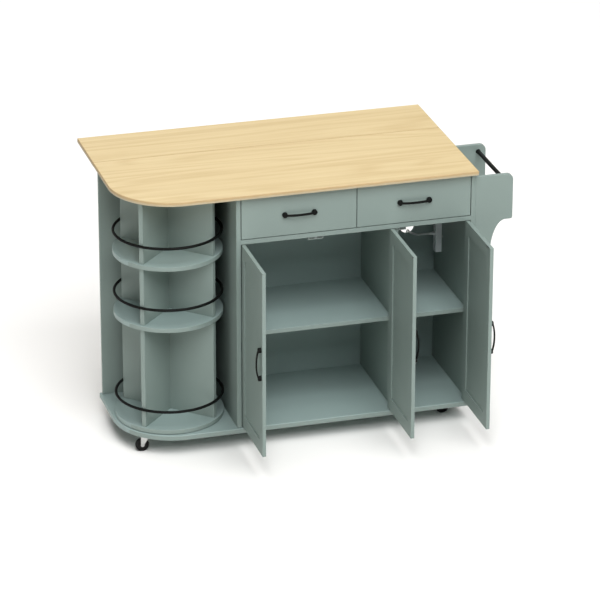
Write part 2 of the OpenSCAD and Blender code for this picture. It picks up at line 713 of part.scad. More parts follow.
// Moving half: plate under the leaf and the middle knuckle
module leaf_hinge_flaps() color(steel) at_hinges() {
    third = hinge_len / 3 - 2 * fit_gap;
    difference() {
        union() {
            translate([-third / 2, 0, 0]) rod_x(knuckle_r, third);
            block([-third / 2, knuckle_r - hinge_sheet, 0], [third / 2, plate_y, axis_drop]);
            block([-hinge_len / 2, plate_y, axis_drop - hinge_sheet], [hinge_len / 2, 14, axis_drop]);
        }
        translate([-hinge_len, 0, 0]) rod_x(hinge_pin_r + run_gap, 2 * hinge_len);
    }
}

module at_brackets() for (x = bracket_x) in_frame() translate([x, axis_y, axis_z]) children();

brace_gap = 1;                             // brace to the leaf channel's walls
leaf_wall = brace_t / 2 + brace_gap;       // inner face of those walls
rail_wall = leaf_wall + bracket_sheet + 1; // inner face of the rail's walls

// Upright channel on the back panel, with the pin of the brace
module leaf_bracket_rails() color(steel) at_brackets() {
    y0 = back_y1 - axis_y;
    z0 = -bracket_h - 10;
    block([-rail_wall, y0, z0], [rail_wall, y0 + bracket_sheet, -12]);
    for (s = [0, 1]) mirror([s, 0, 0])
        block([rail_wall, y0, z0], [rail_wall + bracket_sheet, -1, -12]);
    translate([-rail_wall, -pin_back, -bracket_h]) rod_x(brace_pin_r, 2 * rail_wall);
}

// Shallow channel under the leaf that the brace's tip bears in
module leaf_channels() color(steel) at_brackets() {
    wall_h = 6;
    z1 = axis_drop;
    y0 = 20;
    y1 = min(fold_reach + tip_r + 4, leaf_w - 2);
    difference() {
        block([-leaf_wall - bracket_sheet, y0, z1 - wall_h], [leaf_wall + bracket_sheet, y1, z1]);
        block([-leaf_wall, y0 - 1, z1 - wall_h - 1], [leaf_wall, y1 + 1, z1 - bracket_sheet - 0.5]);
    }
}

// Flat bar from the rail's pin up to the leaf channel
module leaf_braces() color(steel) at_brackets()
    translate([-brace_t / 2, -pin_back, -bracket_h]) rotate([-brace_up, 0, 0]) difference() {
        union() {
            rod_x(heel_r, brace_t);
            translate([0, 0, brace_len]) rod_x(tip_r, brace_t);
            translate([brace_t, 0, 0]) rotate([0, -90, 0]) linear_extrude(brace_t)
                polygon([[0, -heel_r], [brace_len, -tip_r], [brace_len, tip_r], [0, heel_r]]);
        }
        translate([-1, 0, 0]) rod_x(brace_pin_r + run_gap, brace_t + 2);
    }

// ---------- casters ----------

module at_caster(k) in_frame() translate(caster_place[k]) children();

// Fixed square plates with their race and king pin
module caster_plates() color(steel) for (k = [0:3]) at_caster(k) {
    translate([-plate_w / 2, -plate_w / 2, caster_h - 2]) cube([plate_w, plate_w, 2]);
    translate([0, 0, crown_top + fit_gap]) cylinder(r = 13, h = caster_h - crown_top - fit_gap);
    translate([0, 0, wheel_d + 2.5]) cylinder(r = king_r, h = caster_h - wheel_d - 2.5);
}

// Outline of a fork cheek: wide at the crown, round at the axle
module cheek_outline() {
    h = crown_top - wheel_d / 2;
    polygon(concat([[trail + crown_r, h], [-cheek_r, h]], arc([0, 0], cheek_r, 180, 380, 12)));
}

module caster_fork(k) color(steel) at_caster(k) difference() {
    union() {
        translate([0, 0, wheel_d + 2]) cylinder(r = crown_r, h = crown_top - wheel_d - 2);
        for (y = [-cheek_in - cheek_t, cheek_in]) translate([-trail, y + cheek_t, wheel_d / 2])
            rotate([90, 0, 0]) linear_extrude(cheek_t) cheek_outline();
        translate([-crown_r, -cheek_in - cheek_t, crown_top - 2])
            cube([2 * crown_r, 2 * (cheek_in + cheek_t), 2]);
        translate([-trail, -cheek_in - cheek_t - 1, wheel_d / 2])
            rod_y(axle_r, 2 * (cheek_in + cheek_t + 1));
    }
    translate([0, 0, wheel_d]) cylinder(r = king_r + run_gap, h = 20);
}

// Wheel with a rounded tread and dished sides
module caster_wheel(k) color([0.06, 0.06, 0.06]) at_caster(k)
    translate([-trail, 0, wheel_d / 2]) rotate([90, 0, 0]) rotate_extrude() {
        r = wheel_d / 2;
        w = wheel_w / 2;
        polygon(concat(
            [[axle_r + run_gap, -w], [7, -w], [8, 2 - w], [r - 6, 2 - w], [r - 5, -w]],
            arc([r - 3, 3 - w], 3, -90, 0, 4), arc([r - 3, w - 3], 3, 0, 90, 4),
            [[r - 5, w], [r - 6, w - 2], [8, w - 2], [7, w], [axle_r + run_gap, w]]));
    }

// ---------- power outlet and its lead ----------

// Housing on the right panel's inner face; its two sockets face left
module outlet_box() color(plastic_grey) in_frame() difference() {
    translate([outlet_x, outlet_y, outlet_z]) rotate([90, 0, 90])
        linear_extrude(outlet_t) polygon(round_rect(outlet_w, outlet_h, 5));
    for (z = [socket_up, outlet_h - socket_up])
        translate([outlet_x, outlet_y + outlet_w / 2, outlet_z + z]) socket_recess();
}

// Round recess with two blade slots and an earth hole
module socket_recess() {
    translate([-1, 0, 0]) rod_x(socket_r, 3);
    for (y = [-6.35, 6.35]) block([0, y - 1, -2], [12, y + 1, 6]);
    translate([0, 0, -8]) rod_x(2.6, 12);
}

// Tapered sleeve where the lead leaves the outlet box
module lead_sleeve() color(plastic_grey) in_frame() translate(sleeve_at)
    rotate([0, -90, 0]) rotate_extrude()
        polygon([[0, 0], [7.5, 0], [7.5, 3], [6, 4], [lead_d / 2 + 0.8, sleeve_len], [0, sleeve_len]]);

lead_path = smooth(lead_route);

module lead() color(lead_grey) in_frame() tube(lead_path, lead_d / 2, 8, [1, 1, 0]);

// One turn is a full circle clockwise from the side nearest the cabinet.
// The spiral runs in, turns back halfway through its climb and runs out.
function coil_point(t) =
    let (turn = layer_turns, back = turn + 0.25,
         rise = min(max((t - turn) * 2, 0), 1),
         r = coil_in_r + turn_pitch * abs(back - t),
         a = -90 - 360 * t)
    coil_c + [r * cos(a), r * sin(a), layer_step * rise * rise * (3 - 2 * rise)];

coil_end = coil_point(coil_turns);
coil_path = concat(
    [coil_point(0) + [lead_d, 0, 0]],
    [for (i = [0:coil_turns * coil_rings]) coil_point(i / coil_rings)],
    [coil_end + [lead_d, 0, 0]]);
coil_self_gap = min([for (i = [0:len(coil_path) - 1])
    for (j = [i + coil_rings / 2:1:len(coil_path) - 1]) norm(coil_path[i] - coil_path[j])]) - lead_d;
echo(coil_self_gap = coil_self_gap);
echo(lead_length = path_len(lead_path) + path_len(coil_path));

module lead_coil() color(lead_grey) in_frame() tube(coil_path, lead_d / 2, 6, [0, 0, 1]);

// Moulded plug, flat on the floor at the coil's outer end
module plug() color(lead_grey) in_frame()
    translate(coil_end + [lead_d, 0, 0]) rotate([90, 0, 90]) {
        rotate_extrude() polygon([[0, 0], [lead_d / 2 + 0.8, 0], [7, plug_sleeve], [0, plug_sleeve]]);
        plug_h = 2 * coil_end.z;
        translate([-plug_w / 2, -plug_h / 2, plug_sleeve])
            linear_extrude(plug_len) polygon(round_rect(plug_w, plug_h, 6));
        for (x = [-6.35, 6.35])
            translate([x - 0.75, -1 - 3, plug_sleeve + plug_len]) cube([1.5, 6.3, 16]);
        translate([0, 6.5, plug_sleeve + plug_len]) cylinder(r = 2.4, h = 18);
    }

// ---------- every node ----------

base_board();
side_panel_left();
side_panel_right();
divider();
cabinet_back();
bay_back();
drawer_deck();
drawer_partition();
shelf_left();
shelf_right();
worktop();
door_catches();
door_pivots();
towel_brackets();
towel_rail();
drawer_runners();
outlet_box();
lead_sleeve();
lead();
lead_coil();
plug();
rack_pivots();
leaf_hinges();
leaf_bracket_rails();
caster_plates();
drop_leaf();
leaf_hinge_flaps();
leaf_channels();
leaf_braces();
rack_disc(0);  // rack_disc_bottom
rack_disc(1);  // rack_disc_middle
rack_disc(2);  // rack_disc_top
rack_fins();
guard_rings();
turntable_plate();
door_frame(0);  // door_left_frame
door_panel(0);  // door_left_panel
door_handle(0);  // door_left_handle
door_frame(1);  // door_middle_frame
door_panel(1);  // door_middle_panel
door_handle(1);  // door_middle_handle
door_frame(2);  // door_right_frame
door_panel(2);  // door_right_panel
door_handle(2);  // door_right_handle
drawer_front(0);  // drawer_left_front
drawer_box(0);  // drawer_left_box
drawer_handle(0);  // drawer_left_handle
drawer_slides(0);  // drawer_left_slides
drawer_front(1);  // drawer_right_front
drawer_box(1);  // drawer_right_box
drawer_handle(1);  // drawer_right_handle
drawer_slides(1);  // drawer_right_slides
caster_fork(0);  // caster_fork_fl
caster_fork(1);  // caster_fork_fr
caster_fork(2);  // caster_fork_bl
caster_fork(3);  // caster_fork_br
caster_wheel(0);  // caster_wheel_fl
caster_wheel(1);  // caster_wheel_fr
caster_wheel(2);  // caster_wheel_bl
caster_wheel(3);  // caster_wheel_br
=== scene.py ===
# %% [markdown]
# # A kitchen island with a drop leaf: dressing the solids
#
# The solids of this island come from a CAD file, and each one already stands where it belongs. This lesson
# gives them what a solid lacks: eased edges, screws, grain, paint, and a lead that lies as a lead does.
# Three functions join what is made here to the solids. `import_model` brings them in, `attach` ties a piece
# to the body that it moves with, and `hide_parts` hides the solids that a piece stands for.

# %% Load the solids
import json
import math

import bmesh
import bpy
from mathutils import Matrix, Vector

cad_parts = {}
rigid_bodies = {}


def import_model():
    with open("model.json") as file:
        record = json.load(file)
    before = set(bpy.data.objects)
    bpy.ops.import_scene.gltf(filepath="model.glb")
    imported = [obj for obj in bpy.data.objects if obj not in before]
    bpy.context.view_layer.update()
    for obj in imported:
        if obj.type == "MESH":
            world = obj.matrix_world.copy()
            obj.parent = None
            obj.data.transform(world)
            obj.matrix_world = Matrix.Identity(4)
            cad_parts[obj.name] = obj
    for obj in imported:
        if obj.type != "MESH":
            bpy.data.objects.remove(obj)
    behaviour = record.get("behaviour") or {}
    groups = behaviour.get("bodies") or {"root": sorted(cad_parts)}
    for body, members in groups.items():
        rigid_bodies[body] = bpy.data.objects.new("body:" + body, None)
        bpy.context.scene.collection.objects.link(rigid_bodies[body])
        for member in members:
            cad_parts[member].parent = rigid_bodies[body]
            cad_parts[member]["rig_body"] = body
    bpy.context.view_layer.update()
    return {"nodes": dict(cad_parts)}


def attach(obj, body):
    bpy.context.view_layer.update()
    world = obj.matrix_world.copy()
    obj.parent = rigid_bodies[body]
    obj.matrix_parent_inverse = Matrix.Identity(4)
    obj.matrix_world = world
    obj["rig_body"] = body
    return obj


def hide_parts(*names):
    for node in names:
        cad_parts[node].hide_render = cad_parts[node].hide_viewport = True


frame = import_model()
solids = frame["nodes"]
body_of_solid = {node: solid["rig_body"] for node, solid in solids.items()}

# %% [markdown]
# The maker's drawing counts in millimetres from the left end of the worktop, the front of the carcass and
# the floor. Blender counts in metres from the middle of the island. One function turns the first into the
# second, so that every number below can be read on the drawing.

# %% Millimetres on the drawing to metres in the scene
MIDDLE = Vector((664.0, 193.25, 0.0))


def at(x, y, z):
    """Point of the drawing, in mm, as a point of the scene."""
    return (Vector((x, y, z)) - MIDDLE) / 1000


print("worktop's left front corner is at", [round(c, 4) for c in at(0, -25, 914)])

# %% [markdown]
# ## The camera
#
# The island is seen from far off, a little from its left and from above, with a long lens that keeps upright
# edges nearly parallel. Three angles could aim the camera, but a direction is surer, because it can be
# measured on a picture. A camera looks along its own -Z, so its -Z is turned into that direction.

# %% Camera
CAMERA_PLACE, LOOKS_ALONG = (-3.131, -10.809, 5.303), (0.2544, 0.8816, -0.3976)
LENS, ROLL = 219.9, 0.1                   # in mm, in degrees


def aim_camera(place, direction, lens, roll):
    """Camera at a place, looking along a direction, level from side to side but for its roll."""
    camera = bpy.data.objects.new("camera", bpy.data.cameras.new("camera"))
    bpy.context.scene.collection.objects.link(camera)
    camera.data.sensor_width = 36
    camera.data.lens = lens
    camera.data.clip_start, camera.data.clip_end = 0.5, 60
    camera.location = place
    level = Vector(direction).to_track_quat("-Z", "Y")
    camera.rotation_mode = "QUATERNION"
    camera.rotation_quaternion = level @ Matrix.Rotation(math.radians(roll), 3, "Z").to_quaternion()
    bpy.context.scene.camera = camera
    return camera


camera = aim_camera(CAMERA_PLACE, LOOKS_ALONG, LENS, ROLL)
print("camera stands", round(camera.location.length, 2), "m away")

# %% [markdown]
# ## The lead
#
# A power lead leaves the outlet box through a rubber sleeve, crosses to the hole in the back panel, hangs
# down behind the cabinet and is put away as a neat coil on the floor, out of sight. It could be a tube swept
# in mesh code, but a curve with a round bevel is its own centreline: its length can be read off it, and it
# stays round in every bend.
#
# The route is a list of points, smoothed by a curve that passes through all of them. The way in is written
# as shares of the gap between the sleeve and the hole, the way out as steps from the hole, and the foot as
# steps from where the hanging stretch would meet the floor.

# %% Route of the lead
LEAD_D = 7.0
EXIT = Vector((1140.0, 313.5, 566.0))     # end of the sleeve
RIM = Vector((1092.0, 381.0, 553.5))      # where it lies in the cable hole
FLOOR_REST = LEAD_D / 2 + 0.1             # height of its middle where it lies on the floor
DROP_Y, DROP_FROM, DROP_TO = 424.0, RIM.z - 54, 70
DROP_POINTS, DROP_BOW = 12, 3
WAY_IN = [(0, 0, 0), (0.05, 0, 0), (0.1, 0, 0), (0.22, 0.018, 0.03), (0.36, 0.066, 0.13),
          (0.5, 0.134, 0.28), (0.643, 0.234, 0.49), (0.766, 0.357, 0.62), (0.866, 0.5, 0.75),
          (0.94, 0.658, 0.88), (0.985, 0.826, 1), (1, 1, 1)]
WAY_OUT = [(0.4, 12, -1), (1.4, 23, -6.5), (2, 31.5, -17.5), (2, 36, -31)]
WAY_FOOT = [(-2, 42.4), (-9, 22.4), (-21, 9.4), (-34, 3.4), (-48, 0.6), (-62, 0), (-75, 0)]


def lead_route():
    """Points of the uncoiled lead, on the drawing."""
    gap = RIM - EXIT
    points = [EXIT + Vector([share * side for share, side in zip(step, gap)]) for step in WAY_IN]
    points += [RIM + Vector(step) for step in WAY_OUT]
    for i in range(DROP_POINTS):
        f = i / (DROP_POINTS - 1)
        height = DROP_FROM - f * (DROP_FROM - DROP_TO)
        points.append(Vector((RIM.x, DROP_Y - DROP_BOW * (1 - f) ** 2, height)))
    points += [Vector((RIM.x + x, DROP_Y, FLOOR_REST + z)) for x, z in WAY_FOOT]
    return points


def through(p0, p1, p2, p3, t):
    """Point between p1 and p2 on the smooth curve through all four."""
    return 0.5 * (2 * p1 + (p2 - p0) * t + (2 * p0 - 5 * p1 + 4 * p2 - p3) * t ** 2
                  + (3 * p1 - p0 - 3 * p2 + p3) * t ** 3)


def smoothed(points, steps):
    """The points with steps - 1 more between each two."""
    last = len(points) - 1
    found = [through(points[max(i - 1, 0)], points[i], points[i + 1], points[min(i + 2, last)], s / steps)
             for i in range(last) for s in range(steps)]
    return found + [points[last]]


route = lead_route()
print(len(route), "points from the sleeve to the floor")

# %% [markdown]
# The coil is a spiral in two layers: it winds inwards on the floor, climbs by a little more than one
# diameter and winds out again on top, so that both ends come out at the outside. The climb is eased in and
# out, which is what a springy lead does.

# %% Coil of the put-away length
COIL_IN_R, LAYER_TURNS, PITCH = 29.5, 2, LEAD_D + 0.6
CLIMB_TURNS, STEPS_A_TURN, COIL_ASIDE = 0.5, 24, 82
COIL_OUT_R = COIL_IN_R + LAYER_TURNS * PITCH + CLIMB_TURNS / 2 * PITCH
COIL_MIDDLE = Vector((RIM.x - COIL_ASIDE, DROP_Y + COIL_OUT_R, FLOOR_REST))
COIL_TURNS = 2 * LAYER_TURNS + CLIMB_TURNS


def coil_point(turn):
    """Point of the coil after so many turns."""
    rise = min(max((turn - LAYER_TURNS) / CLIMB_TURNS, 0), 1)
    radius = COIL_IN_R + PITCH * abs(LAYER_TURNS + CLIMB_TURNS / 2 - turn)
    angle = math.radians(-90 - 360 * turn)
    return COIL_MIDDLE + Vector((radius * math.cos(angle), radius * math.sin(angle),
                                 PITCH * rise * rise * (3 - 2 * rise)))


coil = [coil_point(i / STEPS_A_TURN) for i in range(int(COIL_TURNS * STEPS_A_TURN) + 1)]
coil_end = coil[-1] + Vector((LEAD_D, 0, 0))
lead_line = [at(*p) for p in smoothed(route, 4) + coil + [coil_end]]
lead_length = sum((b - a).length for a, b in zip(lead_line, lead_line[1:]))
print("lead is", round(lead_length, 3), "m long")

# %% [markdown]
# ## Finishes
#
# Every finish is a small network of nodes: a colour that drifts, a roughness that drifts with it and a fine
# bump. Painted pictures would do as well, but a network has no seams, no limit of size, and reads the same
# point of the wood wherever the board is cut. All of them read the piece's own coordinates, in metres.
#
# Wear sits on the edges, where hands and cloths rub; on the sage paint the lighter edge is also a painted
# highlight, where the satin catches the light. A bevel node bends the normal near an edge and leaves it
# alone elsewhere, so the place where the bent and the plain normal differ is the edge.

# %% Helper for node networks
WEAR_REACH = 0.0016                       # how far from an edge the coat is rubbed, in m


class Finish:
    """A material and short ways to add and join its nodes."""

    def __init__(self, name):
        self.material = bpy.data.materials.new(name)
        self.material.use_nodes = True
        self.nodes = self.material.node_tree.nodes
        self.links = self.material.node_tree.links
        self.shader = self.nodes["Principled BSDF"]
        self.place = self.nodes.new("ShaderNodeTexCoord").outputs["Object"]

    def feed(self, socket, value):
        """Gives a socket a number or another node's output."""
        if isinstance(value, bpy.types.NodeSocket):
            self.links.new(value, socket)
        else:
            socket.default_value = value

    def add(self, kind, inputs=None, **settings):
        """New node with its settings and inputs."""
        node = self.nodes.new("ShaderNode" + kind)
        for key, value in settings.items():
            setattr(node, key, value)
        for key, value in (inputs or {}).items():
            self.feed(node.inputs[key], value)
        return node

    def stretched(self, x, y, z):
        """The place, with each axis multiplied."""
        return self.add("Mapping", {"Vector": self.place, "Scale": (x, y, z)}).outputs["Vector"]

    def noise(self, scale, detail=2.0, where=None, rough=0.5, distortion=0.0):
        """Value of a soft noise."""
        return self.add("TexNoise", {"Vector": where or self.place, "Scale": scale, "Detail": detail,
                                     "Roughness": rough, "Distortion": distortion}).outputs["Fac"]

    def remap(self, value, low, high, to_low, to_high):
        """Value moved from one range to another, and held inside it."""
        return self.add("MapRange", {"Value": value, "From Min": low, "From Max": high,
                                     "To Min": to_low, "To Max": to_high}).outputs["Result"]

    def spread(self, value, to_low=0.0, to_high=1.0):
        """A soft noise, which keeps mostly between 0.3 and 0.7, spread over a range."""
        return self.remap(value, 0.3, 0.7, to_low, to_high)

    def mixed(self, share, first, second):
        """Two colours mixed by a share. The node's sockets for colours are 6 and 7, and 2 on the way out."""
        node = self.add("Mix", {"Factor": share}, data_type="RGBA", blend_type="MIX")
        for socket, colour in ((node.inputs[6], first), (node.inputs[7], second)):
            self.feed(socket, colour if isinstance(colour, bpy.types.NodeSocket) else (*colour, 1))
        return node.outputs[2]

    def maths(self, how, first, second=0.0):
        """A sum, product or other operation on two values."""
        return self.add("Math", {0: first, 1: second}, operation=how).outputs[0]

    def edge_wear_and_highlight(self, colour, edge, amount):
        """The colour, with another along the edges in patches: rubbed wear, and on the sage paint also a
        painted highlight.
        """
        bent = self.add("Bevel", {"Radius": WEAR_REACH}, samples=4).outputs["Normal"]
        plain = self.add("NewGeometry").outputs["Normal"]
        same = self.add("VectorMath", {0: bent, 1: plain}, operation="DOT_PRODUCT").outputs["Value"]
        sharp = self.remap(same, 0.985, 0.86, 0.0, 1.0)
        patches = self.remap(self.noise(35.0, 4.0, rough=0.65), 0.45, 0.65, 0.0, amount)
        return self.mixed(self.maths("MULTIPLY", sharp, patches), colour, edge)

    def surface(self, colour, roughness, bump=None, strength=0.1, depth=0.001, **plain):
        """Joins the network to the shader. Plain numbers go on its own sockets."""
        for key, value in plain.items():
            self.shader.inputs[key.replace("_", " ")].default_value = value
        self.feed(self.shader.inputs["Base Color"], colour)
        self.feed(self.shader.inputs["Roughness"], roughness)
        if bump is not None:
            node = self.add("Bump", {"Height": bump, "Strength": strength, "Distance": depth})
            self.links.new(node.outputs["Normal"], self.shader.inputs["Normal"])
        return self.material


def times(colour, factor):
    """A colour made lighter or darker."""
    return tuple(c * factor for c in colour)


print("a finish can", ", ".join(way for way in vars(Finish) if not way.startswith("_")))

# %% [markdown]
# ### Sage paint
#
# The boards are pressed wood with a sprayed satin paint. Up close such paint has the skin of an orange: very
# shallow, and a few millimetres from dimple to dimple. From a few steps away only the satin shows, a little
# cloudy, because the coat is never even. The boards inside get a second, paler and greener mix of the same
# paint: that is painted light, which brightens them as the light inside the cabinet would.

# %% Sage paint
# The second colour is the sage made paler and greener: painted light for the inner boards.
SAGE, LIT_INNER_SAGE = (0.220, 0.277, 0.254), (0.270, 0.350, 0.334)
CLOUDINESS = 0.014


def sage_paint(name, colour):
    """Satin paint, sprayed on board."""
    f = Finish(name)
    clouds = f.spread(f.noise(4.0, 3.0))
    tone = f.mixed(clouds, times(colour, 1 - CLOUDINESS), times(colour, 1 + CLOUDINESS))
    tone = f.mixed(f.remap(f.noise(60.0, 2.0), 0.45, 0.75, 0, 0.03), tone, times(colour, 1.25))
    # The edges are lightened 1.7 times: partly rubbed wear, partly a painted highlight of the satin.
    tone = f.edge_wear_and_highlight(tone, times(colour, 1.7), 0.5)
    gloss = f.spread(f.noise(9.0, 3.0), 0.47, 0.52)
    peel = f.maths("ADD", f.noise(420.0, 1.0), f.maths("MULTIPLY", f.noise(1600.0, 1.0), 0.4))
    return f.surface(tone, gloss, peel, 0.10, 0.0004, Specular_IOR_Level=0.35)


paint = sage_paint("sage_paint", SAGE)
# The paler mix paints light onto the inner boards.
inner_paint_lit = sage_paint("inner_sage_painted_light", LIT_INNER_SAGE)
print(paint.name, inner_paint_lit.name)

# %% [markdown]
# ### Pale wood
#
# The top is glued up from broad staves that run along it. The figure of wood is the growth rings cut at a
# slant: long flames along the grain and fine pores in between. Noise drawn out eleven times along the grain
# gives the flames, and a wave over it gives the rings. Finer noise, drawn out fifty times, gives the streaks,
# the fibre and the pores. Each stave gets a place of its own in the tree, or the figure would run across the
# joints.

# %% Pale wood
def pale_wood(name, light, dark, run, stave, gloss=(0.42, 0.55)):
    """Straight-grained wood in staves, so many metres wide, whose grain runs along the axis named."""
    f = Finish(name)
    split = f.add("SeparateXYZ", {"Vector": f.place}).outputs
    side, other = [axis for axis in "XYZ" if axis != run]
    lane = f.maths("FLOOR", f.maths("DIVIDE", f.maths("ADD", split[side], 3.0), stave))
    chance = f.add("TexWhiteNoise", {"W": lane}, noise_dimensions="1D").outputs["Value"]
    along = f.maths("ADD", split[run], f.maths("MULTIPLY", chance, 37.0))

    def drawn_out(shrink):
        """The place in the tree, shrunk along the grain, which draws noise out along it."""
        return f.add("CombineXYZ", {"X": f.maths("MULTIPLY", along, shrink), "Y": split[side],
                                    "Z": split[other]}).outputs["Vector"]

    flames = f.noise(5.5, 1.5, drawn_out(0.09), 0.45, 0.5)
    rings = f.remap(f.maths("SINE", f.maths("MULTIPLY", flames, 62.0)), -1.0, 1.0, 0.0, 1.0)
    rings = f.maths("POWER", rings, 2.2)
    fine_place = drawn_out(0.02)
    streaks = f.spread(f.noise(75.0, 2.0, fine_place, 0.5))
    fibre = f.noise(420.0, 3.0, fine_place, 0.6)
    pores = f.remap(f.noise(900.0, 2.0, fine_place, 0.6), 0.58, 0.72, 0.0, 1.0)
    share = f.maths("ADD", f.maths("MULTIPLY", rings, 0.42), f.maths("MULTIPLY", streaks, 0.42))
    share = f.maths("ADD", share, f.maths("MULTIPLY", f.spread(fibre), 0.22))
    tone = f.mixed(f.maths("MINIMUM", share, 1.0), light, dark)
    tone = f.mixed(f.maths("MULTIPLY", chance, 0.05), tone, times(dark, 0.85))
    tone = f.mixed(f.maths("MULTIPLY", pores, 0.12), tone, times(dark, 0.55))
    tone = f.edge_wear_and_highlight(tone, times(dark, 0.6), 0.35)
    height = f.maths("SUBTRACT", fibre, f.maths("MULTIPLY", pores, 0.6))
    return f.surface(tone, f.spread(fibre, *gloss), height, 0.12, 0.0004, Specular_IOR_Level=0.4)


worktop_wood = pale_wood("worktop_wood", (0.640, 0.508, 0.278), (0.525, 0.387, 0.186), "X", 0.105)
drawer_wood = pale_wood("drawer_box_wood", (0.62, 0.47, 0.29), (0.50, 0.36, 0.20), "Y", 0.07, (0.6, 0.7))
print(worktop_wood.name, drawer_wood.name)

# %% [markdown]
# The top's edges carry a band of their own. It is golden near the top and paler and greyer below, with a soft
# line between them; the paler, greyer lower part is a painted reflection of the pale floor. A ramp over the
# height paints it, and has no seam to gape.

# %% Band on the worktop's edges
WORKTOP_TOP, WORKTOP_THICK = 0.914, 0.015


def edge_with_painted_reflection(name, upper, lower, top_z, thick):
    """Edge band: golden at the top, paler and greyer below, where a reflection of the pale floor is painted.
    """
    f = Finish(name)
    height = f.add("SeparateXYZ", {"Vector": f.place}).outputs["Z"]
    depth = f.remap(height, top_z - thick, top_z, 0.0, 1.0)
    line = f.maths("ADD", depth, f.maths("MULTIPLY", f.maths("SUBTRACT", f.noise(60.0), 0.5), 0.3))
    fibre = f.noise(500.0, 3.0, f.stretched(0.03, 0.03, 1), 0.6)
    # Paler and greyer below the line: a painted reflection of the pale floor.
    tone = f.mixed(f.remap(line, 0.30, 0.62, 0, 1), lower, upper)
    tone = f.mixed(f.remap(fibre, 0.35, 0.7, 0, 0.30), tone, times(upper, 0.6))
    tone = f.edge_wear_and_highlight(tone, times(upper, 0.6), 0.3)
    return f.surface(tone, f.spread(fibre, 0.5, 0.62), fibre, 0.12, 0.0003, Specular_IOR_Level=0.35)


edge_band = edge_with_painted_reflection("edge_band", (0.49, 0.350, 0.180), (0.50, 0.430, 0.290), WORKTOP_TOP, WORKTOP_THICK)
print(edge_band.name)

# %% [markdown]
# ### Metals, rubber and plastic
#
# Handles, rail and wire rings are powder coated: black, matt and slightly pebbled. The hidden fittings are
# zinc-plated sheet, which is brighter and shows the rolling direction. Wheels are black rubber that takes a
# little dust; the outlet and its lead are grey plastic. Rubber, plastic and cloth differ in colour, gloss and
# grain alone, so one function makes them all.

# %% Other finishes
def powder_coat(name):
    """Black coat, matt and pebbled, a little greyer where it is rubbed."""
    f = Finish(name)
    pebble = f.noise(1500.0, 2.0)
    tone = f.mixed(f.spread(f.noise(40.0)), (0.0030, 0.0036, 0.0032), (0.0052, 0.0058, 0.0052))
    tone = f.edge_wear_and_highlight(tone, (0.03, 0.03, 0.03), 0.4)
    return f.surface(tone, f.spread(pebble, 0.50, 0.62), pebble, 0.25, 0.0003,
                     Specular_IOR_Level=0.12)


def zinc_plate(name, tone=0.62):
    """Plated sheet, cloudy and finely lined by the rolls, bright where it is rubbed."""
    f = Finish(name)
    rolled = f.noise(300.0, 3.0, f.stretched(1, 0.06, 1), 0.6)
    cloud = f.noise(30.0, 2.0)
    colour = f.mixed(cloud, (tone * 0.86, tone * 0.88, tone * 0.88), (tone, tone, tone * 0.97))
    colour = f.edge_wear_and_highlight(colour, (tone * 1.2, tone * 1.2, tone * 1.18), 0.6)
    return f.surface(colour, f.spread(rolled, 0.24, 0.42), rolled, 0.05, 0.0002, Metallic=1.0)


def moulded(name, colour, rough=(0.45, 0.6), grain=1100.0, dust=0.0, shine=0.4):
    """Rubber, plastic or cloth: a cloudy colour, a grained skin and, where asked for, dust."""
    f = Finish(name)
    cloud = f.noise(25.0, 3.0)
    tone = f.mixed(f.spread(cloud), times(colour, 0.93), times(colour, 1.07))
    if dust:
        tone = f.mixed(f.remap(f.noise(90.0, 4.0), 0.5, 0.8, 0, dust), tone, (0.20, 0.19, 0.17))
    tone = f.edge_wear_and_highlight(tone, tuple(c * 1.6 + 0.02 for c in colour), 0.5)
    skin = f.noise(grain, 2.0)
    return f.surface(tone, f.spread(skin, *rough), skin, 0.15, 0.0003, Specular_IOR_Level=shine)


black_coat = powder_coat("black_powder_coat")
zinc = zinc_plate("zinc_plate")
contact_metal = zinc_plate("brass_contact", 0.55)
wheel_rubber = moulded("wheel_rubber", (0.008, 0.008, 0.008), (0.6, 0.75), dust=0.12, shine=0.15)
hub_plastic = moulded("hub_plastic", (0.05, 0.05, 0.05), (0.5, 0.6))
grey_plastic = moulded("grey_plastic", (0.70, 0.75, 0.76))
pale_plastic = moulded("pale_plastic", (0.27, 0.32, 0.30))
lead_sheath = moulded("lead_sheath", (0.66, 0.69, 0.69), (0.4, 0.5))
strap_cloth = moulded("strap_cloth", (0.03, 0.03, 0.03), (0.8, 0.95), 2200.0, shine=0.1)
print(len(bpy.data.materials), "materials")

# %% [markdown]
# ## Eased edges
#
# No sawn board has a knife edge. A millimetre of rounding on each edge catches the light and is most of what
# tells a real board from a drawing of one. The solid is copied, its split corners are welded, flat triangles
# are merged back into whole faces, and the convex edges are rounded. Inner corners stay sharp, as they are
# where one board meets another.
#
# Every mesh shades smoothly over its small angles. A modifier gives the large faces the say over the normals,
# or the rounding would draw a false gradient across the flat board beside it.

# %% Copy a solid with its edges eased
BOARD_SMOOTH, FITTING_SMOOTH = 35, 40     # edges that turn by more degrees than this are shaded sharp
EASED_FROM = math.radians(30)


def place_mesh(form, name, body, finish, replaced=(), smooth=FITTING_SMOOTH):
    """Makes an object of a bmesh, which rides on a body and may stand for solids."""
    mesh = bpy.data.meshes.new(name)
    bmesh.ops.recalc_face_normals(form, faces=form.faces)
    form.to_mesh(mesh)
    form.free()
    mesh.polygons.foreach_set("use_smooth", [True] * len(mesh.polygons))
    mesh.set_sharp_from_angle(angle=math.radians(smooth))
    for one in finish if isinstance(finish, list) else [finish]:
        mesh.materials.append(one)
    piece = bpy.data.objects.new(name, mesh)
    bpy.context.scene.collection.objects.link(piece)
    even = piece.modifiers.new("even_shading", "WEIGHTED_NORMAL")
    even.keep_sharp = True
    even.weight = 100
    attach(piece, body)
    if replaced:
        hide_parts(*replaced)
    return piece


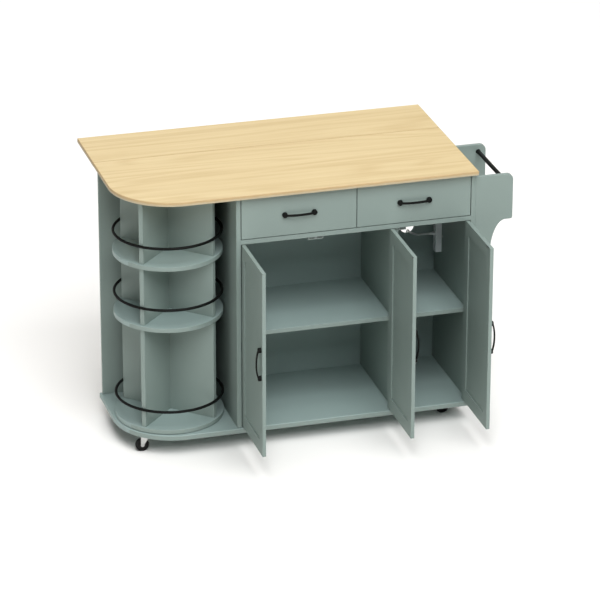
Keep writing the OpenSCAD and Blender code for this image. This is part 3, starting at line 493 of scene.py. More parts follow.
def whole_faces(node):
    """The solid's mesh with its corners welded and its flat triangles merged."""
    form = bmesh.new()
    form.from_mesh(solids[node].data)
    bmesh.ops.remove_doubles(form, verts=form.verts, dist=2e-6)
    bmesh.ops.dissolve_limit(form, angle_limit=math.radians(0.4), verts=form.verts, edges=form.edges)
    return form


def ease(form, width, segments=2):
    """Rounds the convex edges of a bmesh, by a width in mm."""
    edges = [e for e in form.edges if len(e.link_faces) == 2 and e.is_convex
             and e.calc_face_angle(0) > EASED_FROM]
    bmesh.ops.bevel(form, geom=edges, offset=width / 1000, segments=segments, profile=0.5,
                    affect="EDGES", clamp_overlap=True)
    return form


def dress(node, finish, width=1.0, segments=2):
    """A solid's eased copy in its place, with its finish."""
    return place_mesh(ease(whole_faces(node), width, segments), node + "_eased", body_of_solid[node],
                      finish, [node], BOARD_SMOOTH)


print("solids can be copied with eased edges")

# %% [markdown]
# The boards come first. The inner ones get the paler mix of the paint, which paints light on their tops and
# inner faces; their faces that look forwards keep the plain mix of the fronts, without the painted light. The
# back panel has its edges hidden and keeps the paler mix all over.

# %% Boards
painted = ["side_panel_left", "side_panel_right", "divider", "bay_back", "drawer_deck", "drawer_partition",
           "towel_brackets", "rack_fins"]
painted += [f"door_{side}_{part}" for side in ("left", "middle", "right") for part in ("frame", "panel")]
painted += [f"drawer_{side}_front" for side in ("left", "right")]
inner = ["base_board", "cabinet_back", "shelf_left", "shelf_right", "rack_disc_bottom", "rack_disc_middle",
         "rack_disc_top"]


def paint_fronts(piece):
    """Gives the faces of an inner board that look forwards the plain paint of the fronts; the others keep the
    painted light of the paler mix.
    """
    piece.data.materials.append(paint)
    for face in piece.data.polygons:
        looks_forward = face.normal.y < -0.5 and abs(face.normal.z) < 0.5
        face.material_index = 1 if looks_forward else 0


for node in painted:
    dress(node, paint, 0.5 if node.endswith("_panel") else 1.0)
for node in inner:
    # The paler mix on these boards is painted light; paint_fronts takes it off the faces that look forwards.
    board = dress(node, inner_paint_lit)
    if node != "cabinet_back":
        paint_fronts(board)
for side in ("left", "right"):
    dress(f"drawer_{side}_box", drawer_wood, 0.8)
print(len(painted) + len(inner) + 2, "boards eased")

# %% [markdown]
# The worktop and its leaf are veneered: the upper face is one sheet, and the edges carry their band. So the
# faces that look sideways get the band, and the others keep the veneer; the band also reaches onto all but
# the flattest faces of the rounding, where its darker tone paints the shade line in the seam between top and
# leaf.
# A top that is leant on all day is rounded more than a cabinet board.

# %% Worktop and leaf with a band on their edges
# LEVEL sends nearly all of the rounding to the darker band: painted shade along the seam between top and
# leaf.
TOP_EASE, LEVEL = 1.8, 0.97


def banded(node):
    """A board with one finish on its faces and another on its edges."""
    form = ease(whole_faces(node), TOP_EASE, segments=3)
    for face in form.faces:
        face.material_index = 1 if abs(face.normal.z) < LEVEL else 0
    return place_mesh(form, node + "_eased", body_of_solid[node], [worktop_wood, edge_band], [node],
                      BOARD_SMOOTH)


top, leaf = banded("worktop"), banded("drop_leaf")
print(top.name, "and", leaf.name, "have", len(top.data.polygons) + len(leaf.data.polygons), "faces")

# %% [markdown]
# ## Metal pieces, wheels and outlet box
#
# Pressed steel has a small edge radius of a fifth of a millimetre, a caster's fork and wheel a little more,
# and a moulded box has soft corners. Their solids have the right form already, so each one is copied and
# eased like a board, by its own width.

# %% Metal pieces, wheels and outlet box
SHEET_EASE, FORK_EASE, WHEEL_EASE, BOX_EASE = 0.2, 0.3, 0.4, 2.5
sheet_metal = ("door_pivots", "drawer_runners", "rack_pivots", "turntable_plate", "leaf_hinges",
               "leaf_hinge_flaps", "leaf_bracket_rails", "leaf_channels", "leaf_braces", "caster_plates",
               "drawer_left_slides", "drawer_right_slides")
for node in sheet_metal:
    dress(node, zinc, SHEET_EASE, segments=1)
for corner in ("fl", "fr", "bl", "br"):
    dress("caster_fork_" + corner, zinc, FORK_EASE)
    dress("caster_wheel_" + corner, wheel_rubber, WHEEL_EASE)
dress("outlet_box", grey_plastic, BOX_EASE, segments=3)
print(len(sheet_metal), "sets of sheet metal, four forks, four wheels and the outlet box eased")

# %% [markdown]
# ## Turned pieces and bars
#
# Posts, screw heads, collars and sleeves are turned shapes: an outline that goes once round an axis. A
# modifier could turn them, but a dozen lines of mesh code place the rings right where they belong, on any
# axis, and many small pieces can share one mesh.

# %% Turned shapes
UP, DOWN = Vector((0, 0, 1)), Vector((0, 0, -1))
LEFT, RIGHT = Vector((-1, 0, 0)), Vector((1, 0, 0))
FRONT, BACK = Vector((0, -1, 0)), Vector((0, 1, 0))


def sides_of(axis):
    """Two directions square to an axis and to each other."""
    helper = UP if abs(Vector(axis).z) < 0.9 else RIGHT
    first = helper.cross(axis).normalized()
    return first, Vector(axis).cross(first).normalized()


def join_rings(form, rings):
    """Faces between rings of equal length; a ring of one point closes to it."""
    for low, high in zip(rings, rings[1:]):
        count = max(len(low), len(high))
        for k in range(count):
            n = (k + 1) % count
            corners = [low[k % len(low)], low[n % len(low)], high[n % len(high)], high[k % len(high)]]
            form.faces.new(list(dict.fromkeys(corners)))


def round_angles(count):
    """So many angles, evenly once round."""
    return [2 * math.pi * k / count for k in range(count)]


def turned(form, outline, spot, axis, segments):
    """Adds a turned shape to a bmesh. The outline has radius and height in mm, from a spot along an axis."""
    axis = Vector(axis).normalized()
    first, second = sides_of(axis)
    rings = []
    for radius, height in outline:
        middle = Vector(spot) + axis * height
        if radius == 0:
            rings.append([form.verts.new(at(*middle))])
            continue
        rings.append([form.verts.new(at(*(middle + radius * (first * math.cos(a) + second * math.sin(a)))))
                      for a in round_angles(segments)])
    join_rings(form, rings)


print("turned shapes can be made on any axis")

# %% [markdown]
# A bar and a block are the other two shapes that repeat. The bar's section is a circle pushed out towards a
# rectangle, which gives flat faces and soft corners at once.

# %% Bars and blocks
BAR_SQUARENESS, BAR_POINTS = 4.0, 16


def swept(form, line, across, width, thick):
    """Adds a bar along a line: a rounded section, so wide along one direction and so thick square to it."""
    across = Vector(across).normalized()
    rings = []
    for i, spot in enumerate(line):
        ahead = (line[min(i + 1, len(line) - 1)] - line[max(i - 1, 0)]).normalized()
        out = ahead.cross(across).normalized()
        ring = []
        for k in range(BAR_POINTS):
            a = 2 * math.pi * (k + 0.5) / BAR_POINTS
            c, s = (math.copysign(abs(v) ** (2 / BAR_SQUARENESS), v) for v in (math.cos(a), math.sin(a)))
            ring.append(form.verts.new(at(*(spot + across * (c * width / 2) + out * (s * thick / 2)))))
        rings.append(ring)
    join_rings(form, rings)
    form.faces.new(rings[0][::-1])
    form.faces.new(rings[-1])


def slab(form, low, high):
    """Adds a block between two corners of the drawing."""
    corners = [form.verts.new(at(x, y, z)) for z in (low[2], high[2])
               for x, y in ((low[0], low[1]), (high[0], low[1]), (high[0], high[1]), (low[0], high[1]))]
    for face in ((3, 2, 1, 0), (4, 5, 6, 7), (0, 1, 5, 4), (1, 2, 6, 5), (2, 3, 7, 6), (3, 0, 4, 7)):
        form.faces.new([corners[k] for k in face])


print("bars have", BAR_POINTS, "points round their section")

# %% [markdown]
# ## Handles
#
# The handles are cast in one piece: a short round post at each end, and a flat bar that bows away between
# them. The bar is wider than it is thick, so from the side it looks slim, and from the front it looks strong.
# Three lengths and a power give its curve: how far it stands off at the posts and in the middle, the pitch,
# and how late it bends.

# %% Handles
HANDLE_PITCH, BAR_WIDE, BAR_THICK = 100.0, 8.2, 4.8
OUT_AT_POST, OUT_AT_MIDDLE, BOW_POWER = 8.2, 15.6, 2.3
POST = [(0, 0), (9.3, 0), (9.3, 1.2), (8.9, 1.7), (8.9, 7.4), (8.5, 8.9), (7.2, 10.0), (4.0, 10.6), (0, 10.7)]
HANDLE_FEET = (-HANDLE_PITCH / 2, HANDLE_PITCH / 2)


def bow_handle(node, middle, out, along):
    """Handle whose feet stand on a board's face at either side of a point."""
    form = bmesh.new()
    for foot in HANDLE_FEET:
        turned(form, POST, middle + along * foot, out, segments=28)
    bow = OUT_AT_MIDDLE - OUT_AT_POST
    line = [middle + along * (HANDLE_PITCH / 2 * t) + out * (OUT_AT_MIDDLE - bow * abs(t) ** BOW_POWER)
            for t in [i / 12 - 1 for i in range(25)]]
    swept(form, line, out.cross(along), BAR_WIDE, BAR_THICK)
    return place_mesh(form, node + "_bow", body_of_solid[node], black_coat, [node])


DOOR_Z, DOOR_H, DOOR_T, DOOR_FREE = 83.0, 648.5, 12.0, 252.0
PIVOT_Y, DOOR_HANDLE_IN = 6.0, 17.5
PIVOT_X = {"left": 405.5, "middle": 912.0, "right": 1173.5}
DRAWER_HANDLE_X, DRAWER_HANDLE_Z = {"left": 594.375, "right": 986.625}, 823


def door_side(side):
    """Direction that an open door's outer face looks to."""
    return LEFT if side == "left" else RIGHT


def on_door(side, along, out, up):
    """Point of an open door: its distance from the pivot, from the middle of its thickness, from its foot."""
    return Vector((PIVOT_X[side], PIVOT_Y - along, DOOR_Z + up)) + door_side(side) * out


for side in PIVOT_X:
    bow_handle(f"door_{side}_handle", on_door(side, DOOR_FREE - DOOR_HANDLE_IN, DOOR_T / 2, DOOR_H / 2),
               door_side(side), UP)
for side, x in DRAWER_HANDLE_X.items():
    bow_handle(f"drawer_{side}_handle", Vector((x, 0, DRAWER_HANDLE_Z)), FRONT, RIGHT)
print("five handles, bar", BAR_WIDE, "by", BAR_THICK, "mm")

# %% [markdown]
# ## Screws
#
# A screw head is a low dome with a cross sunk into it. The cross is a loop of twelve corners inside the rim
# of the dome, pushed down: a real hollow, which stays dark from every side. A dark cross painted on would be
# less work, but it would look flat up close. The screws of one kind and body go into one mesh.

# %% Screw heads
CROSS = [(0.40, 0.11), (0.11, 0.11), (0.11, 0.40), (-0.11, 0.40), (-0.11, 0.11), (-0.40, 0.11),
         (-0.40, -0.11), (-0.11, -0.11), (-0.11, -0.40), (0.11, -0.40), (0.11, -0.11), (0.40, -0.11)]
DOME = [(1.0, 0.0), (1.0, 0.12), (0.93, 0.27), (0.78, 0.38), (0.6, 0.43)]
CROSS_TOP, CROSS_FLOOR, CROSS_TAPER = 0.43, 0.1, 0.8


def screw(form, spot, axis, radius):
    """Adds one screw head that stands on a face. All its sizes are shares of its radius."""
    axis = Vector(axis)
    first, second = sides_of(axis)

    def ring(pairs, height):
        return [form.verts.new(at(*(Vector(spot) + radius * (first * x + second * y + axis * height))))
                for x, y in pairs]

    spread = [math.atan2(y, x) for x, y in CROSS]
    rings = [ring([(r * math.cos(a), r * math.sin(a)) for a in spread], h) for r, h in DOME]
    rings.append(ring(CROSS, CROSS_TOP))
    rings.append(ring([(x * CROSS_TAPER, y * CROSS_TAPER) for x, y in CROSS], CROSS_FLOOR))
    join_rings(form, rings)
    form.faces.new(rings[-1])


def screws(name, body, places, radius, finish=zinc):
    """A set of screw heads on one body; each place is a point and the direction it faces."""
    form = bmesh.new()
    for spot, axis in places:
        screw(form, spot, axis, radius)
    return place_mesh(form, name, body, finish)


print("a screw head has", len(CROSS), "corners round its cross")

# %% [markdown]
# The first screws hold what carries load: four to a caster plate, three to each half of a hinge and two to a
# folding bracket.

# %% Screws of the casters, hinges and brackets
CASTERS = {"fl": (86.0, 78.5), "fr": (1137.0, 92.0), "bl": (86.0, 308.0), "br": (1141.0, 308.0)}
CASTER_PLATE_LOW, CASTER_HOLES = 58.0, (-14.5, 14.5)
HINGES, HINGE_HOLES, HINGE_LOW = (110.0, 600.0, 1090.0), (-20, 0, 20), 897.2
BRACKETS, BRACKET_HOLES, BRACKET_FACE = (471.0, 1108.0), (868, 838), 387.5
screws("caster_screws", "cabinet",
       [(Vector((x + i, y + j, CASTER_PLATE_LOW)), DOWN)
        for x, y in CASTERS.values() for i in CASTER_HOLES for j in CASTER_HOLES], radius=2.6)
for name, body, y, radius in (("hinge_screws", "cabinet", 389.7, 2.3), ("flap_screws", "leaf", 406.8, 2.6)):
    screws(name, body, [(Vector((x + i, y, HINGE_LOW)), DOWN) for x in HINGES for i in HINGE_HOLES], radius)
screws("bracket_screws", "cabinet", [(Vector((x, BRACKET_FACE, z)), BACK) for x in BRACKETS
                                     for z in BRACKET_HOLES], radius=3.0)
print(len(CASTERS), "casters,", len(HINGES), "hinges and", len(BRACKETS), "brackets screwed on")

# %% [markdown]
# The runners are screwed to the walls of the drawer compartments. Each handle has a screw through the board
# into either foot. On the doors those heads are painted over with the rest of the inner face.

# %% Screws of the runners and handles
RUNNER_Z, RUNNER_HOLES = 791.5, (45, 170, 300)
RUNNER_WALLS = ((397.2, RIGHT), (780.8, LEFT), (798.2, RIGHT), (1181.8, LEFT))
DRAWER_FRONT_T = 15
screws("runner_screws", "cabinet", [(Vector((x, y, RUNNER_Z)), way) for x, way in RUNNER_WALLS
                                    for y in RUNNER_HOLES], radius=2.8)
for side in PIVOT_X:
    screws(f"handle_screws_{side}_door", f"door_{side}",
           [(on_door(side, DOOR_FREE - DOOR_HANDLE_IN, -DOOR_T / 2, DOOR_H / 2 + foot), -door_side(side))
            for foot in HANDLE_FEET], radius=2.8, finish=paint)
for side, x in DRAWER_HANDLE_X.items():
    screws(f"handle_screws_{side}_drawer", f"drawer_{side}",
           [(Vector((x + foot, DRAWER_FRONT_T, DRAWER_HANDLE_Z)), BACK) for foot in HANDLE_FEET], radius=4.0)
print(len(RUNNER_WALLS) * len(RUNNER_HOLES), "screws in the runners, two in each handle")

# %% [markdown]
# The back panel, the board behind the rack's bay and the two boards of the towel rail are screwed on in rows
# that follow the boards they are fixed to.

# %% Screws of the backs and bracket boards
BACK_FACE, BAY_BACK_FACE, BRACKET_BOARD_FACE = 386, 393, 1183
upright_rows = [(x, z) for z in (88, 240, 397, 560, 730, 890) for x in (404, 929, 1175)]
level_rows = [(x, z) for z in (69, 741) for x in (530, 660, 790, 1050)]
screws("back_panel_screws", "cabinet",
       [(Vector((x, BACK_FACE, z)), BACK) for x, z in upright_rows + level_rows], radius=3.0)
screws("bay_back_screws", "cabinet", [(Vector((x, BAY_BACK_FACE, z)), BACK) for x in (22, 372)
                                      for z in (90, 350, 610, 850)], radius=3.4)
screws("bracket_board_screws", "cabinet", [(Vector((BRACKET_BOARD_FACE, y, z)), LEFT) for y in (8, 290)
                                           for z in (560, 700, 860)], radius=3.4)
print(len(upright_rows + level_rows), "screws in the back panel")

# %% [markdown]
# ## Small fittings
#
# Two shelves rest on eight pegs: a thin shank in the wall and a round head under the board. They are turned,
# like the screws, but without a cross.

# %% Shelf pegs
PEG = [(0, 0), (2.5, 0), (2.5, 7.0), (3.6, 7.0), (3.6, 8.2), (3.2, 8.8), (0, 8.8)]
PEG_WALLS, PEG_Y, PEG_Z = ((396.0, RIGHT), (922.0, LEFT), (937.0, RIGHT), (1183.0, LEFT)), (70, 345), 387.3
form = bmesh.new()
for x, way in PEG_WALLS:
    for y in PEG_Y:
        turned(form, PEG, (x, y, PEG_Z), way, segments=16)
place_mesh(form, "shelf_pegs", "cabinet", zinc)
print(len(PEG_WALLS) * len(PEG_Y), "pegs under the shelves")

# %% [markdown]
# The doors are held shut by magnets: a pale case under the drawer deck, with two thin poles in its front that
# a steel plate on the door's inner face meets. The left and middle doors share a double case. Case, poles and
# plate are blocks with eased edges.

# %% Magnets and strike plates
CASE_LOW, DECK_LOW, CASE_WIDE = 720.0, 734.0, 26
CASE_FRONT, CASE_BACK = 12.5, 34.5
POLE_FRONT, POLE_BACK, POLE_TALL = 12.38, 12.9, 1.6
POLE_Z, POLE_FROM, POLE_TO = (723.6, 727.4), 4, 22
CASES = ((627.25, 2), (937.0, 1))         # left end, and how many magnets the case holds
cases, poles = bmesh.new(), bmesh.new()
for left, magnets in CASES:
    slab(cases, (left, CASE_FRONT, CASE_LOW), (left + magnets * CASE_WIDE, CASE_BACK, DECK_LOW))
    for start in [left + i * CASE_WIDE for i in range(magnets)]:
        for z in POLE_Z:
            slab(poles, (start + POLE_FROM, POLE_FRONT, z), (start + POLE_TO, POLE_BACK, z + POLE_TALL))
place_mesh(ease(cases, 1.0), "catch_cases", "cabinet", pale_plastic, ["door_catches"])
place_mesh(ease(poles, 0.1, segments=1), "catch_poles", "cabinet", black_coat)

STRIKES = {"left": (234.7, 20), "middle": (242.5, 16), "right": (223.5, 20)}    # from the pivot, width
STRIKE_LOW, STRIKE_HIGH, STRIKE_T = DOOR_H - 8.2, DOOR_H - 1.0, 0.3
for side, (along, wide) in STRIKES.items():
    form = bmesh.new()
    near = on_door(side, along - wide / 2, -DOOR_T / 2, STRIKE_LOW)
    far = on_door(side, along + wide / 2, -DOOR_T / 2 - STRIKE_T, STRIKE_HIGH)
    slab(form, [min(pair) for pair in zip(near, far)], [max(pair) for pair in zip(near, far)])
    place_mesh(ease(form, 0.1, segments=1), f"strike_plate_{side}", f"door_{side}", zinc)
print(sum(magnets for left, magnets in CASES), "magnets and", len(STRIKES), "strike plates")

# %% [markdown]
# The towel rail is a round bar between its two boards. A drilled hole never fits as neatly as a drawing says,
# so a collar at each end hides its edge.

# %% Towel rail
RAIL_R, RAIL_X, RAIL_Z, RAIL_FRONT, RAIL_BACK = 7.0, 1301.0, 859.0, 15.0, 283.0
RAIL_LENGTH = RAIL_BACK - RAIL_FRONT
RAIL = [(0, 0), (RAIL_R, 0), (RAIL_R, RAIL_LENGTH), (0, RAIL_LENGTH)]
COLLAR = [(RAIL_R, 0), (8.4, 0), (8.4, 1.6), (7.8, 2.4), (RAIL_R, 2.6)]
form = bmesh.new()
turned(form, RAIL, (RAIL_X, RAIL_FRONT, RAIL_Z), BACK, segments=32)
for y, way in ((RAIL_FRONT, BACK), (RAIL_BACK, FRONT)):
    turned(form, COLLAR + COLLAR[:1], (RAIL_X, y, RAIL_Z), way, segments=32)
place_mesh(form, "towel_rail_bar", "cabinet", black_coat, ["towel_rail"])
print("rail", RAIL_LENGTH, "mm long between its boards")

# %% [markdown]
# The guard rings of the rack are hoops of thick wire that keep jars on the shelves. A torus would do for one,
# but rings of points joined end to end make all three in one mesh.

# %% Guard rings of the rack
RACK_X, RACK_Y, HOOP_R, WIRE_R = 196.5, 185.5, 178.1, 4.7
HOOP_HEIGHTS, HOOP_STEPS, WIRE_STEPS = (158.5, 524.5, 741.5), 120, 14
form = bmesh.new()
for z in HOOP_HEIGHTS:
    hoop = []
    for a in round_angles(HOOP_STEPS):
        out = Vector((math.cos(a), math.sin(a), 0))
        centre = Vector((RACK_X, RACK_Y, z)) + out * HOOP_R
        hoop.append([form.verts.new(at(*(centre + WIRE_R * (out * math.cos(b) + UP * math.sin(b)))))
                     for b in round_angles(WIRE_STEPS)])
    join_rings(form, hoop + hoop[:1])
place_mesh(form, "rack_guard_hoops", body_of_solid["guard_rings"], black_coat, ["guard_rings"], smooth=60)
print(len(HOOP_HEIGHTS), "hoops", round(2 * (HOOP_R + WIRE_R), 1), "mm across")

# %% [markdown]
# The axle of each caster ends in a riveted head outside the fork, and the wheel has a hub that turns with it.
# So the head rides on the caster's body, and the hub on the wheel's.

# %% Axle heads and hubs
RIVET = [(0, 0), (3.9, 0), (3.9, 0.5), (3.2, 1.5), (1.8, 2.1), (0, 2.3)]
HUB = [(3.1, 0), (7.6, 0), (7.6, 0.25), (6.8, 0.7), (4.6, 0.8), (4.2, 0.55), (3.1, 0.55)]
TRAIL, AXLE_Z, RIVET_OUT, HUB_OUT = 12, 22.5, 10.9, 7.45
for corner, (x, y) in CASTERS.items():
    axle = Vector((x - TRAIL, y, AXLE_Z))
    form = bmesh.new()
    for way in (FRONT, BACK):
        turned(form, RIVET, axle + way * RIVET_OUT, way, segments=20)
    place_mesh(form, "axle_rivets_" + corner, "caster_" + corner, zinc)
    form = bmesh.new()
    for way in (FRONT, BACK):
        turned(form, HUB, axle + way * HUB_OUT, way, segments=28)
    place_mesh(form, "hub_" + corner, "wheel_" + corner, hub_plastic)
print(2 * len(CASTERS), "axle heads and as many hubs")

# %% [markdown]
# ## The outlet's face
#
# The outlet box holds two sockets, one at each end. Each has two upright slots and a round earth hole. The
# recess and its slots are in the solid; what it lacks is the metal inside the slots, the raised rim round the
# recess, and the screws that hold the cover.

# %% Outlet's face
OUTLET_FACE, OUTLET_Y = 1162.0, 313.5
SOCKET_Z, SLOT_Y = (519.0, 607.0), (-6.35, 6.35)
CONTACT_FROM, CONTACT_TO = OUTLET_FACE + 5.0, OUTLET_FACE + 9.5
CONTACT_HALF, CONTACT_DOWN, CONTACT_UP = 0.95, 1.9, 5.9
SOCKET_RIM = [(12.0, -0.3), (12.0, 0.5), (11.4, 0.9), (10.9, 0.5), (10.9, -0.3)]
COVER_SCREW_Z = (503.0, 542.0, 590.0)
contacts, rims = bmesh.new(), bmesh.new()
for z in SOCKET_Z:
    for y in SLOT_Y:
        slab(contacts, (CONTACT_FROM, OUTLET_Y + y - CONTACT_HALF, z - CONTACT_DOWN),
             (CONTACT_TO, OUTLET_Y + y + CONTACT_HALF, z + CONTACT_UP))
    turned(rims, SOCKET_RIM + SOCKET_RIM[:1], (OUTLET_FACE, OUTLET_Y, z), LEFT, segments=40)
place_mesh(ease(contacts, 0.1, segments=1), "socket_contacts", "cabinet", contact_metal)
place_mesh(rims, "socket_rims", "cabinet", grey_plastic)
screws("outlet_screws", "cabinet", [(Vector((OUTLET_FACE, OUTLET_Y, z)), LEFT) for z in COVER_SCREW_Z],
       radius=2.2)
print(len(SOCKET_Z), "sockets with contacts")

# %% [markdown]
# ## The lead and its plug
#
# The curve follows the route. At the outlet box it comes out of a tapered sleeve, whose ribs let it bend but
# not kink. The sleeve is turned from an outline, and the plug at the other end starts with the same one.

# %% Lead and sleeve
def make_lead(line, diameter):
    """Round lead along a line, as one curve."""
    curve = bpy.data.curves.new("power_lead", "CURVE")
    curve.dimensions = "3D"
    curve.bevel_depth = diameter / 2
    curve.bevel_resolution = 4
    curve.use_fill_caps = True
    spline = curve.splines.new("POLY")
    spline.points.add(len(line) - 1)
    for point, spot in zip(spline.points, line):
        point.co = (*spot, 1)
    spline.use_smooth = True
    curve.materials.append(lead_sheath)
    lead = bpy.data.objects.new("power_lead", curve)
    bpy.context.scene.collection.objects.link(lead)
    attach(lead, "cabinet")
    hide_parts("lead", "lead_coil")
    return lead


def ribbed(length, wide, slim, ribs):
    """Outline of a tapered sleeve with ribs round it, from its wide end."""
    foot, ribs_from, ribs_long, deep = 2.6, 3.2, length - 4, 0.9
    outline = [(0, 0), (wide, 0), (wide, foot)]
    for i in range(ribs):
        low, high = ribs_from + ribs_long * i / ribs, ribs_from + ribs_long * (i + 0.55) / ribs
        rib = wide + (slim - wide) * (i + 0.5) / ribs
        groove = rib - deep
        outline += [(groove, low), (groove, low + 0.2), (rib, low + 0.9), (rib, high), (groove, high + 0.6)]
    return outline + [(slim, length - 0.5), (slim - 0.4, length), (0, length)]


def make_sleeve():
    """Ribbed sleeve at the outlet box."""
    form = bmesh.new()
    outline = ribbed(OUTLET_FACE - EXIT.x, wide=7.5, slim=4.3, ribs=4)
    turned(form, outline, (OUTLET_FACE, EXIT.y, EXIT.z), LEFT, segments=32)
    return place_mesh(form, "ribbed_sleeve", "cabinet", lead_sheath, ["lead_sleeve"])


power_lead = make_lead(lead_line, LEAD_D / 1000)
sleeve = make_sleeve()
print("lead of", len(lead_line), "points with a sleeve of", OUTLET_FACE - EXIT.x, "mm")

# %% [markdown]
# The plug lies flat on the floor beside the coil. It is one moulding: a ribbed sleeve, and a grip that swells
# for the fingers, made of rounded rings joined end to end. Two blades and a round earth pin stand out of its
# face, in metal.

# %% Plug
PLUG_SLEEVE, PLUG_FACE = 28.0, 36.0
# distance along the grip, width there, and share of the height
GRIP = [(0, 20.0, 0.80), (2.5, 24.5, 0.93), (6, 26.4, 1.0), (12, 25.2, 1.0), (17, 24.8, 0.98),
        (22, 26.0, 1.0), (31, 27.0, 1.0), (34.5, 27.0, 1.0), (36, 25.6, 0.95)]
GRIP_POINTS, GRIP_ROUNDING = 28, 0.62
BLADE_LONG, BLADE_HALF, BLADE_DOWN, BLADE_UP = 16, 0.75, 4, 2.3
PIN, PIN_UP = [(2.4, -1), (2.4, 14.5), (2.1, 16.4), (1.2, 17.6), (0, 18)], 6.5


def make_plug(end):
    """Moulded plug beyond the lead's end, flat on the floor, with two blades and an earth pin."""
    form = bmesh.new()
    height = 2 * end.z
    start = end + RIGHT * PLUG_SLEEVE
    turned(form, ribbed(PLUG_SLEEVE, wide=7.0, slim=4.3, ribs=5), start, LEFT, segments=32)
    rings = []
    for x, wide, tall in GRIP:
        ring = []
        for a in round_angles(GRIP_POINTS):
            c, s = (math.copysign(abs(v) ** GRIP_ROUNDING, v) for v in (math.cos(a), math.sin(a)))
            ring.append(form.verts.new(at(start.x + x, end.y + c * wide / 2, end.z + s * height * tall / 2)))
        rings.append(ring)
    join_rings(form, rings)
    form.faces.new(rings[0][::-1])
    form.faces.new(rings[-1])
    moulding = len(form.faces)
    face = start.x + PLUG_FACE
    for y in SLOT_Y:
        blade = bmesh.new()
        slab(blade, (face - 1, end.y + y - BLADE_HALF, end.z - BLADE_DOWN),
             (face + BLADE_LONG, end.y + y + BLADE_HALF, end.z + BLADE_UP))
        ease(blade, 0.35)
        loose = bpy.data.meshes.new("blade")
        blade.to_mesh(loose)
        blade.free()
        form.from_mesh(loose)
        bpy.data.meshes.remove(loose)
    turned(form, PIN, (face, end.y, end.z + PIN_UP), RIGHT, segments=20)
    form.faces.ensure_lookup_table()
    for metal in form.faces[moulding:]:
        metal.material_index = 1
    return place_mesh(form, "moulded_plug", "cabinet", [lead_sheath, zinc], ["plug"])


plug = make_plug(coil_end)
print("plug has", len(plug.data.polygons), "faces")

# %% [markdown]
# A strap holds the turns of the coil together, as on any lead that is put away. It is a thin band round a
# rounded box that just holds the turns, with its loose end pressed on top.

# %% Tie round the coil
TIE_IN, TIE_OUT, TIE_TOP, TIE_CORNER = 29.0, 45.2, 15.0, 3.0
TIE_HALF, TIE_T = 7, 1.1
LOOSE_IN, LOOSE_OUT, LOOSE_FRONT, LOOSE_BACK = 33, 43, -6, 13
LOOSE_LOW, LOOSE_HIGH = TIE_TOP + 1.0, TIE_TOP + 2.1


def make_tie():
    """Strap round the turns of the coil, on the side away from where they climb."""
    form = bmesh.new()
    near, far, low, high = TIE_IN + TIE_CORNER, TIE_OUT - TIE_CORNER, TIE_CORNER, TIE_TOP - TIE_CORNER
    rings = []
    for corner_r, corner_z, start in ((far, high, 0), (near, high, 90), (near, low, 180), (far, low, 270)):
        for a in [math.radians(start + 15 * i) for i in range(7)]:
            r, z = corner_r + TIE_CORNER * math.cos(a), corner_z + TIE_CORNER * math.sin(a)
            out_r, out_z = r - (TIE_IN + TIE_OUT) / 2, z - TIE_TOP / 2
            size = math.hypot(out_r, out_z)
            ring = []
            for y, out in ((-TIE_HALF, 0), (TIE_HALF, 0), (TIE_HALF, TIE_T), (-TIE_HALF, TIE_T)):
                above_floor = 0.02 + out * 0.04
                spot = Vector((COIL_MIDDLE.x + r + out_r / size * out, COIL_MIDDLE.y + y,
                               max(z + out_z / size * out, above_floor)))
                ring.append(form.verts.new(at(*spot)))
            rings.append(ring)
    join_rings(form, rings + rings[:1])
    x, y = COIL_MIDDLE.x, COIL_MIDDLE.y
    slab(form, (x + LOOSE_IN, y + LOOSE_FRONT, LOOSE_LOW), (x + LOOSE_OUT, y + LOOSE_BACK, LOOSE_HIGH))
    return place_mesh(form, "coil_tie", "cabinet", strap_cloth)


tie = make_tie()
print("lead ends in", plug.name, "and is held by", tie.name)

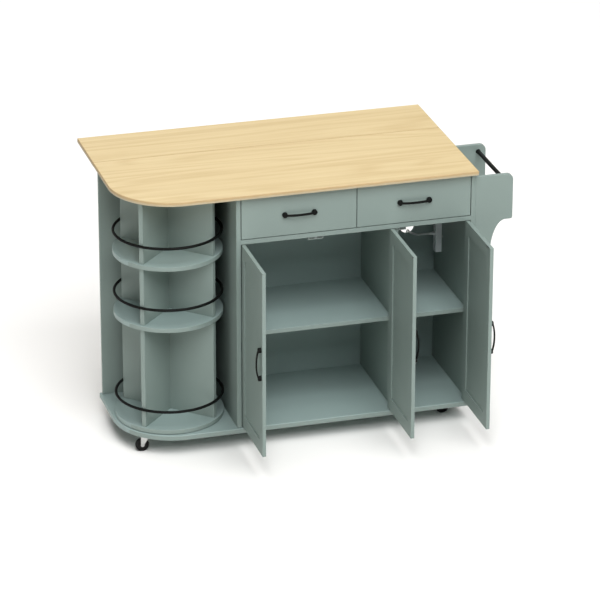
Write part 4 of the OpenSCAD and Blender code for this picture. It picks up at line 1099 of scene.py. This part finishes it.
# %% [markdown]
# ## Floor and light
#
# The island stands on a white studio floor under five soft panels. The one in front gives the fronts most of
# their light, the one above lights the top, a weaker one at each side models the doors, and the one behind
# keeps the floor there white. A faint even sky lifts the deepest shadows. The floor is very slightly warm:
# where the light is full it is plain white, and the warmth shows only in the shadow.

# %% Studio
def studio_floor():
    """Large pale floor that is no part of the island."""
    form = bmesh.new()
    bmesh.ops.create_grid(form, x_segments=4, y_segments=4, size=30)
    mesh = bpy.data.meshes.new("studio_floor")
    form.to_mesh(mesh)
    form.free()
    f = Finish("studio_floor")
    tone = f.mixed(f.noise(0.7, 2.0), (0.90, 0.885, 0.86), (0.92, 0.905, 0.88))
    mesh.materials.append(f.surface(tone, 0.9, Specular_IOR_Level=0.1))
    floor = bpy.data.objects.new("studio_floor", mesh)
    bpy.context.scene.collection.objects.link(floor)


def panel_light(name, place, towards, size, power, colour=(1, 1, 1)):
    """Square soft box that faces a point."""
    light = bpy.data.lights.new(name, "AREA")
    light.size = size
    light.energy = power
    light.color = colour
    lamp = bpy.data.objects.new(name, light)
    lamp.location = place
    lamp.rotation_mode = "QUATERNION"
    lamp.rotation_quaternion = (Vector(towards) - Vector(place)).to_track_quat("-Z", "Y")
    bpy.context.scene.collection.objects.link(lamp)


SKY_STRENGTH, ISLAND, BEHIND = 0.06, (0, 0, 0.4), (0, 8.0, 0)
studio_floor()
sky = bpy.data.worlds.new("studio_sky")
sky.use_nodes = True
background = sky.node_tree.nodes["Background"]
background.inputs["Color"].default_value = (1, 1, 1, 1)
background.inputs["Strength"].default_value = SKY_STRENGTH
bpy.context.scene.world = sky
panel_light("ceiling_panel", (-0.4, -2.2, 13.0), ISLAND, 10.0, 900)
panel_light("front_panel", (-0.6, -9.0, 10.6), ISLAND, 8.0, 1420, (0.985, 1.0, 1.02))
panel_light("right_panel", (6.0, -8.0, 9.5), ISLAND, 6.0, 340)
panel_light("left_panel", (-12.5, -6.0, 4.0), ISLAND, 7.0, 190, (1.04, 1.0, 0.96))
panel_light("rear_panel", (0.0, 11.0, 10.0), BEHIND, 10.0, 900)
bpy.context.scene.view_settings.view_transform = "Standard"
bpy.context.scene.view_settings.look = "None"
print(len(bpy.data.lights), "soft panels")

# %% [markdown]
